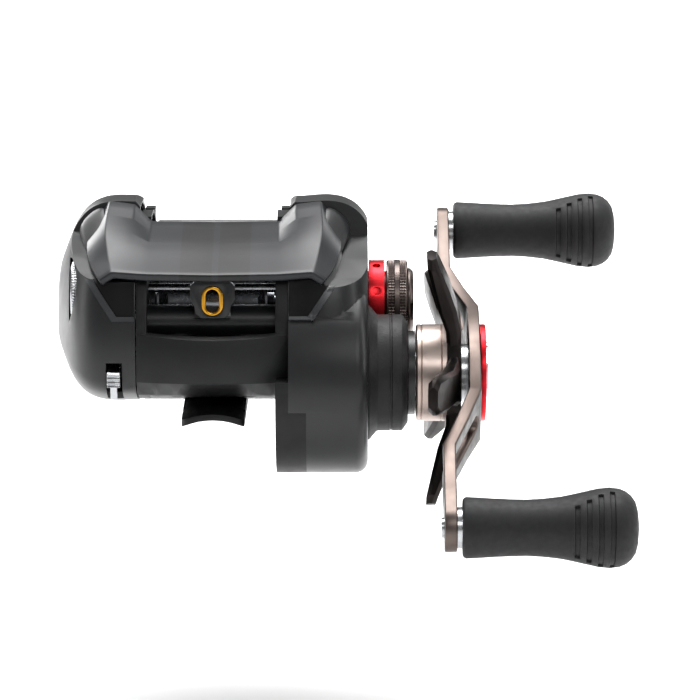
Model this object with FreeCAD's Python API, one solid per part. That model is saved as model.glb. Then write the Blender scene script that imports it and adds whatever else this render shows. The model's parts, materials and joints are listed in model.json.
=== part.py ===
"""Low-profile baitcasting fishing reel for a left-hand crank, as an assembly of separate solids.

Row frame, millimetres: +X points along the spool axis to the handle side, -Y points forward to the
rod tip, +Z points up. The origin is the crown of the reel foot's saddle, under the spool's middle.
Every function makes one sub-part, or a few that are made the same way, in its place at rest.
"""

import FreeCAD
import Part

import math
import os

Vec = FreeCAD.Vector

# ---------------------------------------------------------------- driving dimensions
# spool axis and gear train
SPOOL_Z = 19.0
GEAR_MODULE = 0.55
DRIVE_TEETH = 63
PINION_TEETH = 10
GEAR_ANGLE = 54.0
LEVEL_MODULE = 0.6
LEVEL_DRIVER_TEETH = 28
LEVEL_WORM_TEETH = 17
LEVEL_ANGLE = 33.0
GEAR_BACKLASH = 0.12

# frame
WALL_LEFT = -14.65
WALL_LEFT_THICK = 2.0
WALL_RIGHT = 14.65
WALL_RIGHT_THICK = 2.5
SHELL = 1.6
FIT_GAP = 0.15
RUN_GAP = 0.05
GEARBOX_SEAM = 18.05
GEARBOX_RADIUS = 19.6
COVER_LEFT_REACH = 16.3
COVER_RIGHT_FACE = 30.0

# spool
SPOOL_RADIUS = 15.5
SPOOL_LEFT = -11.3
SPOOL_WIDTH = 21.6
SPOOL_ARBOR = 10.2
SPOOL_CLEARANCE = 0.6
SHAFT_RADIUS = 1.2
SHAFT_LEFT = -23.6
SHAFT_RIGHT = 36.75

# drive shaft and its stack, by distance along X
DRIVE_SHAFT_RADIUS = 2.9
DRIVE_GEAR_X = 18.6
DRIVE_GEAR_FACE = 4.0
HOUSING_RADIUS = 11.4
HOUSING_END = 37.8
CLUTCH_RADIUS = 8.4
CLUTCH_LENGTH = 8.0
SLEEVE_RADIUS = 4.9
HUB_RADIUS = 9.5
HUB_START = 39.35
HUB_LENGTH = 6.0
STAR_TIP_RADIUS = 26.0
STAR_ARMS = 5
STAR_THICK = 2.6

# handle
HANDLE_REACH = 45.0
HANDLE_THICK = 2.4
HANDLE_HUB_X = 49.5
HANDLE_OFFSET = 5.3
HANDLE_ANGLE = 59.0
HANDLE_END_RADIUS = 4.6
KNOB_LENGTH = 33.0
KNOB_BORE = 3.3
KNOB_GAP = 1.0
SPINDLE_RADIUS = 1.9

# spool tension knob
TENSION_RADIUS = 8.3
TENSION_START = 33.75
TENSION_WIDTH = 4.2
RING_RADIUS = 8.2
RING_WIDTH = 3.1
BOSS_RADIUS = 6.0
BOSS_END = 36.2

# reel foot
FOOT_WIDTH = 12.2
FOOT_FRONT = -30.0
FOOT_REAR = 31.0
FOOT_SADDLE_RADIUS = 14.5
FOOT_THICK = 2.6
FOOT_TIP = 1.2

# level wind
BAR_Y = -19.3
BAR_Z = 24.4
BAR_RADIUS = 0.9
WORM_RADIUS = 2.3
WORM_TUBE = 3.2
WORM_GROOVES = 7
GUIDE_HALF = 3.5
GUIDE_Y = -26.3
GUIDE_Z = 23.1

# brake side
DIAL_RADIUS = 6.6
DIAL_X = -27.6
DIAL_Y = -18.4
DIAL_Z = SPOOL_Z + 4.2
DIAL_WIDTH = 2.2
PLATE_X = -21.6
PLATE_THICK = 1.2
LEVER_X = -20.2
LEVER_WIDTH = 2.5
LEVER_Y = -24.5
LEVER_Z = 9.0
MAGNETS = 12
PIN_CIRCLE = 12.8
ROTOR_RADIUS = 8.4
RING_WALL_RADIUS = 17.6
BOLT_RADIUS = 1.0

# clutch release
THUMB_Y = 19.0
THUMB_Z = 26.5
THUMB_LEAN = 20.0
THUMB_TRAVEL = 4.5
THUMB_TONGUE = 2.4
YOKE_X = 15.5
YOKE_THICK = 1.2
YOKE_REACH = 8.0
YOKE_POST_RADIUS = 0.8
CAM_X = 14.75
CAM_PEG_REACH = 10.6
CAM_PEG_ANGLE = 68.0
PINION_X = 12.3
PINION_BEARING = 4.0
DRIVE_BEARING = 4.4
COVER_SCREWS = [(-3.0, 32.0), (14.2, 13.4), (6.5, 7.5)]

# ---------------------------------------------------------------- places worked out from them
CENTRES = GEAR_MODULE * (DRIVE_TEETH + PINION_TEETH) / 2.0
DRIVE_Y = -CENTRES * math.sin(math.radians(GEAR_ANGLE))
DRIVE_Z = SPOOL_Z - CENTRES * math.cos(math.radians(GEAR_ANGLE))
LEVEL_CENTRES = LEVEL_MODULE * (LEVEL_DRIVER_TEETH + LEVEL_WORM_TEETH) / 2.0
WORM_Y = DRIVE_Y - LEVEL_CENTRES * math.sin(math.radians(LEVEL_ANGLE))
WORM_Z = DRIVE_Z + LEVEL_CENTRES * math.cos(math.radians(LEVEL_ANGLE))
SPOOL_RIGHT = SPOOL_LEFT + SPOOL_WIDTH
SPOOL_HOLE = SPOOL_RADIUS + SPOOL_CLEARANCE
LEFT_INNER = WALL_LEFT + WALL_LEFT_THICK
RIGHT_INNER = WALL_RIGHT - WALL_RIGHT_THICK
STAR_START = HUB_START + HUB_LENGTH
CLUTCH_END = HOUSING_END - 1.5
CLUTCH_START = CLUTCH_END - CLUTCH_LENGTH
DRIVE_GEAR_ROOT = GEAR_MODULE * (DRIVE_TEETH / 2.0 - 1.25)


# ---------------------------------------------------------------- shape helpers
def cyl(radius, x0, x1, y, z):
    """Round bar along X."""
    return Part.makeCylinder(radius, x1 - x0, Vec(x0, y, z), Vec(1, 0, 0))


def cone(r0, r1, x0, x1, y, z):
    """Cone frustum along X."""
    return Part.makeCone(r0, r1, x1 - x0, Vec(x0, y, z), Vec(1, 0, 0))


def ring(outer, inner, x0, x1, y, z):
    """Round tube along X."""
    return cyl(outer, x0, x1, y, z).cut(cyl(inner, x0 - 1, x1 + 1, y, z))


def box(x0, x1, y0, y1, z0, z1):
    """Box between two corners."""
    return Part.makeBox(x1 - x0, y1 - y0, z1 - z0, Vec(x0, y0, z0))


def prism_x(points, x0, x1):
    """Polygon of (y, z) points, extruded along X."""
    wire = Part.makePolygon([Vec(x0, y, z) for y, z in points + points[:1]])
    return Part.Face(wire).extrude(Vec(x1 - x0, 0, 0))


def prism_y(points, y0, y1):
    """Polygon of (x, z) points, extruded along Y."""
    wire = Part.makePolygon([Vec(x, y0, z) for x, z in points + points[:1]])
    return Part.Face(wire).extrude(Vec(0, y1 - y0, 0))


def turned(profile, y, z):
    """Solid of revolution about the X axis line through (y, z); profile is (x, radius) points."""
    wire = Part.makePolygon([Vec(x, y, z + r) for x, r in profile + profile[:1]])
    return Part.Face(wire).revolve(Vec(0, y, z), Vec(1, 0, 0), 360)


def smooth_wire(x, points):
    """Closed smooth outline in the plane at x through (y, z) points."""
    curve = Part.BSplineCurve()
    curve.interpolate([Vec(x, y, z) for y, z in points], PeriodicFlag=True)
    return Part.Wire(curve.toShape())


def polygon_wire(points):
    """Closed wire through points."""
    return Part.makePolygon(points + points[:1])


def turn_x(shape, degrees, y, z):
    """Copy of shape, turned about the X line through (y, z)."""
    copy = shape.copy()
    copy.rotate(Vec(0, y, z), Vec(1, 0, 0), degrees)
    return copy


def at(shape, x, y, z):
    """Copy of shape, moved."""
    copy = shape.copy()
    copy.translate(Vec(x, y, z))
    return copy


def fuse(shapes):
    """One solid from several that touch."""
    return shapes[0].multiFuse(shapes[1:]).removeSplitter()


def compound(shapes):
    """Several separate solids as one sub-part."""
    return Part.makeCompound(shapes)


def gear(module, teeth, x0, x1, y, z, phase):
    """Spur gear along X with flat-sided teeth on an involute of 20 degrees; phase in degrees."""
    pitch = module * teeth / 2.0
    base = pitch * math.cos(math.radians(20.0))
    tip = pitch + 0.92 * module
    root = pitch - 1.25 * module
    half_pitch = math.pi / (2 * teeth) - GEAR_BACKLASH / (2 * pitch)
    involute_pitch = math.tan(math.radians(20.0)) - math.radians(20.0)

    def half_angle(radius):
        if radius <= base:
            return half_pitch + involute_pitch
        pressure = math.acos(base / radius)
        return half_pitch + involute_pitch - (math.tan(pressure) - pressure)

    start = max(base, root + 0.15 * module)
    radii = [start + (tip - start) * i / 3.0 for i in range(4)]
    points = []
    for tooth in range(teeth):
        middle = math.radians(phase) + 2 * math.pi * tooth / teeth
        flank = [(root, half_angle(start))] + [(r, half_angle(r)) for r in radii]
        for r, a in flank:
            points.append((r, middle - a))
        for r, a in reversed(flank):
            points.append((r, middle + a))
    outline = [(y + r * math.sin(a), z + r * math.cos(a)) for r, a in points]
    return prism_x(outline, x0, x1)


def ball_bearing(x0, x1, outer, inner, y, z):
    """Shielded ball bearing as two rings and a shield, each its own solid."""
    race = (outer - inner) * 0.28
    inset = (x1 - x0) * 0.12
    return compound([
        ring(outer, outer - race, x0, x1, y, z),
        ring(outer - race, inner + race, x0 + inset, x1 - inset, y, z),
        ring(inner + race, inner, x0, x1, y, z),
    ])


def screw(x0, length, radius, head_radius, head, y, z, direction=1):
    """Cross-head screw along X; the head sits at x0 and the shank runs the other way."""
    head_end = x0 + direction * head
    shank_end = x0 - direction * length
    body = fuse([
        cyl(head_radius, min(x0, head_end), max(x0, head_end), y, z),
        cyl(radius, min(x0, shank_end), max(x0, shank_end), y, z),
    ])
    slot = head_radius * 1.2
    recess = box(min(head_end, head_end - direction * head * 0.6),
                 max(head_end, head_end - direction * head * 0.6),
                 y - slot / 2, y + slot / 2, z - slot / 8, z + slot / 8)
    return body.cut(recess).cut(turn_x(recess, 90, y, z))


# ---------------------------------------------------------------- body outlines
# side view of the body as (y, z) about the spool axis, from the nose round over the top
SIDE_OUTLINE = [
    (-30.4, -11.0), (-31.2, -5.5), (-30.6, 2.0), (-28.2, 9.0), (-23.0, 15.2), (-15.0, 19.4),
    (-6.0, 21.2), (4.0, 20.8), (13.0, 17.0), (20.5, 10.5), (24.2, 2.0), (23.2, -7.0),
    (17.5, -14.0), (8.0, -17.6), (-4.0, -18.0), (-16.0, -17.2), (-25.5, -15.0),
]
OUTLINE_CENTRE_Y = -3.0


def side_outline(scale, inset=0.0):
    """Side outline shrunk towards its centre, less an inset that keeps a wall's thickness."""
    points = []
    for y, z in SIDE_OUTLINE:
        dy = (y - OUTLINE_CENTRE_Y) * scale
        dz = z * scale
        reach = math.hypot(dy, dz)
        share = max(reach - inset, 0.5) / reach
        points.append((OUTLINE_CENTRE_Y + dy * share, SPOOL_Z + dz * share))
    return points


def side_loft(stations, inset=0.0):
    """Solid between side outlines; stations are (x, scale)."""
    wires = [smooth_wire(x, side_outline(scale, inset)) for x, scale in stations]
    return Part.makeLoft(wires, True, False)


# hood half sections, outer skin: y, then (x, z about the spool axis) from the middle to the wing tip
HOOD_SECTIONS = [
    (-30.2, [(0.0, 9.3), (12.5, 9.5), (16.0, 9.7), (19.3, 9.9), (21.8, 8.3)]),
    (-25.0, [(0.0, 11.4), (12.5, 11.5), (16.0, 12.2), (20.2, 12.7), (23.6, 10.0)]),
    (-18.0, [(0.0, 14.0), (12.5, 14.2), (16.0, 16.0), (21.1, 17.0), (24.9, 13.0)]),
    (-8.0, [(0.0, 17.0), (12.5, 17.2), (15.8, 20.6), (20.8, 21.2), (24.8, 16.0)]),
]


def hood_section(y, half, drop, side):
    """Full row of (x, z) points of a hood section, dropped and drawn in by a skin's thickness."""
    right = [(x, SPOOL_Z + z - drop) for x, z in half]
    tip_x, tip_z = right[-1]
    right[-1] = (tip_x - side, tip_z + drop * 0.5)
    left = [(-x, z) for x, z in reversed(right[1:])]
    return [Vec(x, y, z) for x, z in left + right]


def hood_between(lower_drop, lower_side, upper_drop, upper_side):
    """Ruled solid between two skins of the hood; a negative drop lies above the outer skin."""
    wires = []
    for y, half in HOOD_SECTIONS:
        lower = hood_section(y, half, lower_drop, lower_side)
        upper = hood_section(y, half, upper_drop, upper_side)
        wires.append(polygon_wire(upper + list(reversed(lower))))
    return Part.makeLoft(wires, True, True)


def hood():
    """Front hood: a thin skin, with a thicker wing over the palm cover so that the cover can slide out."""
    wires = []
    for y, half in HOOD_SECTIONS:
        skin = hood_section(y, half, SHELL, SHELL)
        low = skin[0].z
        wall = WALL_LEFT - FIT_GAP
        top = skin[2].z + (skin[3].z - skin[2].z) * (wall - skin[2].x) / (skin[3].x - skin[2].x)
        wires.append(polygon_wire([Vec(wall, y, low), skin[0], skin[1], skin[2], Vec(wall, y, top)]))
    wing = Part.makeLoft(wires, True, True)
    return hood_between(SHELL, SHELL, 0.0, 0.0).fuse(wing)


def over_hood(gap):
    """Everything above the hood's inner skin, less a gap; cuts the parts that lie under the hood."""
    wires = []
    reach = 9.0
    front, rear = HOOD_SECTIONS[0], HOOD_SECTIONS[-1]
    sections = [(front[0] - 6.0, front[1])] + HOOD_SECTIONS[:-1] + [(rear[0] + gap, rear[1])]
    for y, half in sections:
        lower = hood_section(y, half, SHELL + gap, 0.0)
        tip_x = half[-1][0]
        tip_z = SPOOL_Z + half[-1][1] - SHELL - gap
        lower[0] = Vec(-tip_x, y, tip_z)
        lower[-1] = Vec(tip_x, y, tip_z)
        lower = [Vec(-tip_x - reach, y, tip_z)] + lower + [Vec(tip_x + reach, y, tip_z)]
        upper = [Vec(v.x, y, SPOOL_Z + 30.0) for v in lower]
        wires.append(polygon_wire(upper + list(reversed(lower))))
    return Part.makeLoft(wires, True, True)


def over_wing(gap):
    """Everything above the hood's left wing tip, less a gap; lets the palm cover slide out under it."""
    wires = []
    front, rear = HOOD_SECTIONS[0], HOOD_SECTIONS[-1]
    for y, half in [(front[0] - 6.0, front[1])] + HOOD_SECTIONS[:-1] + [(rear[0] + gap, rear[1])]:
        low = SPOOL_Z + half[-1][1] - SHELL * 0.5 - gap
        wires.append(polygon_wire([Vec(-40, y, low), Vec(-5, y, low), Vec(-5, y, 60), Vec(-40, y, 60)]))
    return Part.makeLoft(wires, True, True)


PALM_STATIONS = [(0.0, 1.0), (5.4, 1.0), (9.2, 0.945), (12.1, 0.80), (14.3, 0.56), (15.7, 0.30)]
GEAR_STATIONS = [(0.0, 1.0), (9.0, 1.0), (12.0, 0.955), (14.2, 0.87), (15.35, 0.78)]


def palm_blank(inset):
    """Solid inside the palm cover's outer skin, or inside a skin inset from it."""
    reach = COVER_LEFT_REACH / PALM_STATIONS[-1][0]
    stations = [(WALL_LEFT - x * reach, s) for x, s in PALM_STATIONS]
    if inset:
        stations = [(stations[0][0] + 1.0, stations[0][1])] + stations[:-1]
    return side_loft(stations, inset)


def gear_blank(inset):
    """Solid inside the gear cover's outer skin, or inside a skin inset from it."""
    reach = (COVER_RIGHT_FACE - WALL_RIGHT) / GEAR_STATIONS[-1][0]
    stations = [(WALL_RIGHT + x * reach, s) for x, s in GEAR_STATIONS]
    body = side_loft(stations, inset)
    face = COVER_RIGHT_FACE - (SHELL if inset else 0.0)
    radius = GEARBOX_RADIUS - (1.2 if inset else 0.0)
    drum = cyl(radius, WALL_RIGHT, face, DRIVE_Y, DRIVE_Z)
    if inset:
        body = body.cut(box(face, face + 20, -60, 60, -60, 90))
        return body.fuse(drum)
    rim = [e for e in drum.Edges if abs(e.BoundBox.XMin - face) < 1e-6 and abs(e.BoundBox.XMax - face) < 1e-6]
    drum = drum.makeFillet(2.4, rim)
    return body.fuse(drum)


# ---------------------------------------------------------------- frame and covers
def frame_outline():
    """Side outline of a frame wall: the body outline with its top drawn down."""
    points = []
    for y, z in side_outline(0.985):
        if z > SPOOL_Z:
            z = SPOOL_Z + (z - SPOOL_Z) * 0.87
        points.append((y, z))
    return points


def nose_section(x):
    """Section of the front bar at x as (y, z) points; the bar bows forward and down at its middle."""
    bow = 1.0 - (x / WALL_RIGHT) ** 2
    dy = -2.4 * bow
    dz = -0.8 * bow
    return [
        (-30.4 + dy, 7.6), (-31.2 + dy, 12.0 + 0.3 * dz), (-30.7 + dy, 16.9 + dz),
        (-29.7 + dy * 0.9, 17.5 + dz), (-28.5 + dy * 0.7, 16.2 + dz), (-29.0 + dy * 0.7, 9.2),
        (-19.0, 5.2), (-18.0, 2.6), (-27.0, 4.6 + 0.3 * dz),
    ]


def foot():
    """Saddle that sits on the rod: an arched strip, thick at the stem and thin at both tips."""
    tip = FOOT_SADDLE_RADIUS + FOOT_TIP
    stem = FOOT_SADDLE_RADIUS + FOOT_THICK
    front, rear = -13.0, 13.0
    along = Vec(0, 1, 0)
    strip = fuse([
        Part.makeCone(tip, stem, front - FOOT_FRONT, Vec(0, FOOT_FRONT, -FOOT_SADDLE_RADIUS), along),
        Part.makeCylinder(stem, rear - front, Vec(0, front, -FOOT_SADDLE_RADIUS), along),
        Part.makeCone(stem, tip, FOOT_REAR - rear, Vec(0, rear, -FOOT_SADDLE_RADIUS), along),
    ])
    half = FOOT_WIDTH / 2.0
    blank = box(-half, half, FOOT_FRONT, FOOT_REAR, -4.0, 6.0)
    corners = [e for e in blank.Edges if abs(e.BoundBox.ZLength - 10.0) < 1e-6]
    strip = strip.common(blank.makeFillet(1.6, corners))
    length = FOOT_REAR - FOOT_FRONT + 2
    saddle = Part.makeCylinder(FOOT_SADDLE_RADIUS, length, Vec(0, FOOT_FRONT - 1, -FOOT_SADDLE_RADIUS), along)
    return strip.cut(saddle)


def thumb_slot():
    """Slanted slots in the frame walls that guide the thumb bar's tongues."""
    half = THUMB_TONGUE / 2.0 + 0.1
    low = THUMB_Z - half - THUMB_TRAVEL - 0.6
    slot = box(-60, 60, THUMB_Y - half, THUMB_Y + half, low, THUMB_Z + 8.0)
    return turn_x(slot, THUMB_LEAN, THUMB_Y, THUMB_Z)


def yoke_posts_at():
    """Places of the two posts that carry the clutch yoke, either side of the pinion."""
    along = math.radians(GEAR_ANGLE + 90)
    dy, dz = math.sin(along) * YOKE_REACH, math.cos(along) * YOKE_REACH
    return [(dy, SPOOL_Z + dz), (-dy, SPOOL_Z - dz)]


def frame():
    """One casting: two side walls, front bar, spool cradle, rear bar, gearbox rim and foot."""
    left = Part.Face(smooth_wire(WALL_LEFT, frame_outline()))
    left = left.extrude(Vec(WALL_LEFT_THICK, 0, 0)).cut(cyl(RING_WALL_RADIUS, -40, 0, 0, SPOOL_Z))
    right = Part.Face(smooth_wire(RIGHT_INNER, frame_outline()))
    right = right.extrude(Vec(WALL_RIGHT_THICK, 0, 0))
    seam_z = 2.4
    drum = cyl(GEARBOX_RADIUS, RIGHT_INNER, WALL_RIGHT, DRIVE_Y, DRIVE_Z)
    drum = drum.cut(box(0, 30, -60, 60, seam_z + 6, 60))
    rim = ring(GEARBOX_RADIUS, GEARBOX_RADIUS - 1.2, WALL_RIGHT, GEARBOX_SEAM, DRIVE_Y, DRIVE_Z)
    rim = rim.cut(box(0, 30, -60, 60, seam_z, 60))
    spans = [WALL_RIGHT * t for t in (-1.0, -0.75, -0.5, -0.25, 0.0, 0.25, 0.5, 0.75, 1.0)]
    nose = Part.makeLoft([polygon_wire([Vec(x, y, z) for y, z in nose_section(x)]) for x in spans], True, True)
    cradle = prism_x([(-19.0, 5.2), (-18.0, 2.6), (-9.0, 0.7), (9.0, 0.7), (17.0, 3.4), (20.6, 7.5),
                      (19.5, 11.0), (14.0, 11.0), (-15.5, 8.0)], WALL_LEFT + 0.5, WALL_RIGHT - 0.5)
    rear_bar = prism_x([(17.0, 8.0), (19.6, 7.0), (22.6, 12.0), (23.4, 19.5), (21.4, 20.6), (20.2, 14.0)],
                       WALL_LEFT + 0.5, WALL_RIGHT - 0.5)
    stem = box(-FOOT_WIDTH / 2, FOOT_WIDTH / 2, -13.0, 13.0, 1.0, 2.4)
    pilot = cyl(PINION_BEARING + 0.5, WALL_RIGHT, CAM_X + 0.6, 0, SPOOL_Z)
    lugs = [box(x, x + 1.9, 8.5, 13.2, 28.0, 36.6) for x in (WALL_LEFT + 0.05, WALL_RIGHT - 1.95)]
    middle = cradle.fuse(stem).cut(cyl(SPOOL_HOLE, -40, 40, 0, SPOOL_Z))
    body = left.multiFuse([right, drum, rim, nose, middle, rear_bar, pilot, foot()] + lugs)
    cuts = [
        cyl(PINION_BEARING, RIGHT_INNER + 0.25, 60, 0, SPOOL_Z), cyl(3.4, 0, 60, 0, SPOOL_Z),
        cyl(DRIVE_BEARING, RIGHT_INNER + 0.5, 60, DRIVE_Y, DRIVE_Z),
        cyl(WORM_TUBE, -13.7, 13.7, WORM_Y, WORM_Z),
        cyl(SHAFT_RADIUS + 0.2, -20, 20, WORM_Y, WORM_Z),
        cyl(BAR_RADIUS, -13.9, 13.9, BAR_Y, BAR_Z),
    ]
    for y, z in yoke_posts_at():
        cuts.append(cyl(YOKE_POST_RADIUS, RIGHT_INNER + 0.8, 20, y, z))
    for y, z in COVER_SCREWS:
        cuts.append(cyl(BOLT_RADIUS, RIGHT_INNER + 0.8, 20, y, z))
    for x in (-7.0, 7.0):
        cuts.append(Part.makeCylinder(1.3, 12, Vec(x, -22.5, -2), Vec(0, 0, 1)))
    body = body.cut(over_hood(0.0)).cut(thumb_slot())
    for tool in cuts:
        body = body.cut(tool)
    return body.removeSplitter()


def horn_cut(side):
    """Wedge that slopes a cover's inner top edge down to the spool opening; side is 1 or -1."""
    return prism_y([(side * 11.5, 35.0), (side * 16.2, 40.6), (side * 16.2, 60), (side * 11.5, 60)], -60, 60)


def palm_cover():
    """Dished side cover that the palm holds, with slots for the brake dial and the lock lever."""
    inside = palm_blank(SHELL).cut(over_wing(FIT_GAP + SHELL))
    shell = palm_blank(0).cut(over_wing(FIT_GAP)).cut(inside).cut(horn_cut(-1))
    shell = shell.cut(box(WALL_LEFT - FIT_GAP, 0, -60, 60, -60, 90))
    shell = shell.cut(cyl(DIAL_RADIUS + 0.4, DIAL_X - 0.4, DIAL_X + DIAL_WIDTH + 0.4, DIAL_Y, DIAL_Z))
    return shell.cut(box(LEVER_X - 0.3, LEVER_X + LEVER_WIDTH + 0.3, -40, LEVER_Y + 0.5, 1.0, 11.4))


def brake_plate():
    """Inner plate of the palm cover, with the spool bearing's boss, guide pins and lever pivot."""
    face = PLATE_X + PLATE_THICK
    slab = palm_blank(SHELL).common(box(PLATE_X, face, -60, 60, -60, 90)).cut(over_wing(FIT_GAP + SHELL))
    boss = cyl(5.2, -24.6, -18.6, 0, SPOOL_Z)
    pins = []
    for i in range(3):
        angle = math.radians(90 + 120 * i)
        y, z = PIN_CIRCLE * math.sin(angle), SPOOL_Z + PIN_CIRCLE * math.cos(angle)
        pins.append(cyl(0.8, PLATE_X, -16.4, y, z))
    pivot = cyl(1.0, PLATE_X, LEVER_X + LEVER_WIDTH + 0.6, LEVER_Y, LEVER_Z)
    body = slab.multiFuse([boss, pivot] + pins)
    body = body.cut(cyl(4.0, -22.6, 0, 0, SPOOL_Z)).cut(cyl(1.6, -23.9, 0, 0, SPOOL_Z))
    return body.cut(cyl(2.05, -40, 0, DIAL_Y, DIAL_Z))


def brake_dial():
    """Knurled wheel whose rim shows at the front of the palm cover."""
    end = DIAL_X + DIAL_WIDTH
    wheel = cyl(DIAL_RADIUS, DIAL_X, end, DIAL_Y, DIAL_Z)
    teeth = 40
    notch = cyl(0.28, DIAL_X - 1, end + 1, DIAL_Y, DIAL_Z + DIAL_RADIUS + 0.05)
    notches = compound([turn_x(notch, 360.0 * i / teeth, DIAL_Y, DIAL_Z) for i in range(teeth)])
    return wheel.cut(notches).fuse(cyl(2.0, end, PLATE_X + PLATE_THICK + 0.3, DIAL_Y, DIAL_Z))


def magnet_ring():
    """Sliding carrier of the brake magnets, guided by the brake plate's three pins."""
    body = ring(PIN_CIRCLE + 1.5, ROTOR_RADIUS + 0.5, -17.9, -16.9, 0, SPOOL_Z)
    for i in range(3):
        angle = math.radians(90 + 120 * i)
        y, z = PIN_CIRCLE * math.sin(angle), SPOOL_Z + PIN_CIRCLE * math.cos(angle)
        body = body.cut(cyl(0.86, -20, -10, y, z))
    return body


def magnets():
    """Round brake magnets around the rotor."""
    first = cyl(1.1, -16.9, -14.9, 0, SPOOL_Z + ROTOR_RADIUS + 1.9)
    return compound([turn_x(first, 360.0 * i / MAGNETS, 0, SPOOL_Z) for i in range(MAGNETS)])


def lock_lever():
    """Ribbed lever that locks the palm cover; it swings on a pin of the brake plate."""
    end = LEVER_X + LEVER_WIDTH
    ribs = [(-32.6, 6.9), (-32.2, 7.3), (-32.6, 7.7), (-32.2, 8.1), (-32.6, 8.5), (-32.2, 8.9), (-32.6, 9.3),
            (-32.0, 9.8)]
    tab = prism_x([(-24.5, 7.4), (-29.0, 6.4)] + ribs + [(-24.5, 10.6)], LEVER_X, end)
    stem = prism_x([(-29.2, 6.6), (-29.6, 4.6), (-31.0, 4.4), (-31.6, 7.2)], LEVER_X + 0.6, end - 0.6)
    hub = cyl(2.1, LEVER_X, end, LEVER_Y, LEVER_Z)
    return fuse([tab, stem, hub]).cut(cyl(1.05, -30, 0, LEVER_Y, LEVER_Z))


def gear_cover():
    """Right side cover over the gear train, with the spool bearing's boss and three screw posts."""
    shell = gear_blank(0).cut(over_hood(FIT_GAP)).cut(gear_blank(SHELL).cut(over_hood(FIT_GAP + SHELL)))
    inner = COVER_RIGHT_FACE - SHELL
    boss = cyl(BOSS_RADIUS, inner, BOSS_END, 0, SPOOL_Z)
    posts = [cyl(2.2, WALL_RIGHT, inner + 0.4, y, z) for y, z in COVER_SCREWS]
    body = shell.multiFuse([boss] + posts)
    body = body.cut(hood()).cut(horn_cut(1)).cut(box(0, WALL_RIGHT, -60, 60, -60, 90))
    gear_room = LEVEL_MODULE * (LEVEL_WORM_TEETH / 2.0 + 1.0) + 0.3
    body = body.cut(cyl(gear_room, 0, 17.1, WORM_Y, WORM_Z))
    seam_z = 2.4
    drum_rear = DRIVE_Y + math.sqrt(GEARBOX_RADIUS ** 2 - (DRIVE_Z - seam_z) ** 2)
    body = body.cut(box(0, GEARBOX_SEAM, -60, drum_rear, -60, seam_z))
    body = body.cut(cyl(2.2, 20, 60, 0, SPOOL_Z)).cut(cyl(4.0, BOSS_END - 5.4, 60, 0, SPOOL_Z))
    body = body.cut(cyl(HOUSING_RADIUS - 1.4, 20, 60, DRIVE_Y, DRIVE_Z))
    for y, z in COVER_SCREWS:
        body = body.cut(cyl(BOLT_RADIUS, 0, 60, y, z)).cut(cyl(1.9, COVER_RIGHT_FACE - 1.2, 60, y, z))
    return body.removeSplitter()


def cover_screws():
    """Three screws that hold the gear cover."""
    return compound([screw(COVER_RIGHT_FACE - 1.2, 15.5, BOLT_RADIUS, 1.9, 1.0, y, z) for y, z in COVER_SCREWS])


def clutch_housing():
    """Housing of the one-way clutch, from a cone on the gear cover to a chamfered mouth."""
    spigot = HOUSING_RADIUS - 1.4
    start = COVER_RIGHT_FACE - 2.4
    return turned([
        (start, CLUTCH_RADIUS), (start, spigot), (COVER_RIGHT_FACE, spigot),
        (COVER_RIGHT_FACE, HOUSING_RADIUS + 1.8), (COVER_RIGHT_FACE + 1.75, HOUSING_RADIUS),
        (HOUSING_END - 1.15, HOUSING_RADIUS), (HOUSING_END, HOUSING_RADIUS - 1.6),
        (HOUSING_END, SLEEVE_RADIUS + 0.7), (CLUTCH_END, SLEEVE_RADIUS + 0.7), (CLUTCH_END, CLUTCH_RADIUS),
    ], DRIVE_Y, DRIVE_Z)


def one_way_clutch():
    """Outer race and eight rollers of the one-way clutch."""
    race = ring(CLUTCH_RADIUS, SLEEVE_RADIUS + 1.72, CLUTCH_START, CLUTCH_END, DRIVE_Y, DRIVE_Z)
    roller = cyl(0.8, CLUTCH_START + 0.5, CLUTCH_END - 0.5, DRIVE_Y, DRIVE_Z + SLEEVE_RADIUS + 0.9)
    return compound([race] + [turn_x(roller, 45.0 * i, DRIVE_Y, DRIVE_Z) for i in range(8)])


def red_ring():
    """Anodised ring with a row of dimples behind the tension knob, cut away beside the housing."""
    start = COVER_RIGHT_FACE + 0.2
    body = ring(RING_RADIUS, BOSS_RADIUS, start, start + RING_WIDTH, 0, SPOOL_Z)
    dimple = Part.makeCylinder(0.8, 1.2, Vec(start + RING_WIDTH / 2, 0, SPOOL_Z + RING_RADIUS - 0.6))
    for i in range(8):
        body = body.cut(turn_x(dimple, 22.5 + 45.0 * i, 0, SPOOL_Z))
    flange = cone(HOUSING_RADIUS + 2.1, HOUSING_RADIUS + 0.1, COVER_RIGHT_FACE, COVER_RIGHT_FACE + 1.9,
                  DRIVE_Y, DRIVE_Z)
    return body.cut(flange)


# ---------------------------------------------------------------- spool and its brake rotor
def spool():
    """Bare spool: thin flared flanges, a drum and a centre web on a hub."""
    left, right, drum = SPOOL_LEFT, SPOOL_RIGHT, SPOOL_ARBOR
    return turned([
        (left, SPOOL_RADIUS), (left + 0.4, SPOOL_RADIUS), (left + 1.95, drum), (right - 1.95, drum),
        (right - 0.4, SPOOL_RADIUS), (right, SPOOL_RADIUS), (right, SPOOL_RADIUS - 0.5), (right - 1.3, drum - 0.8),
        (1.2, drum - 0.8), (1.2, 2.4), (PINION_X - 0.9, 2.4), (PINION_X - 0.9, SHAFT_RADIUS),
        (left - 0.7, SHAFT_RADIUS), (left - 0.7, 2.4), (-1.2, 2.4), (-1.2, drum - 0.8), (left + 1.3, drum - 0.8),
        (left, SPOOL_RADIUS - 0.5),
    ], 0, SPOOL_Z)


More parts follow.
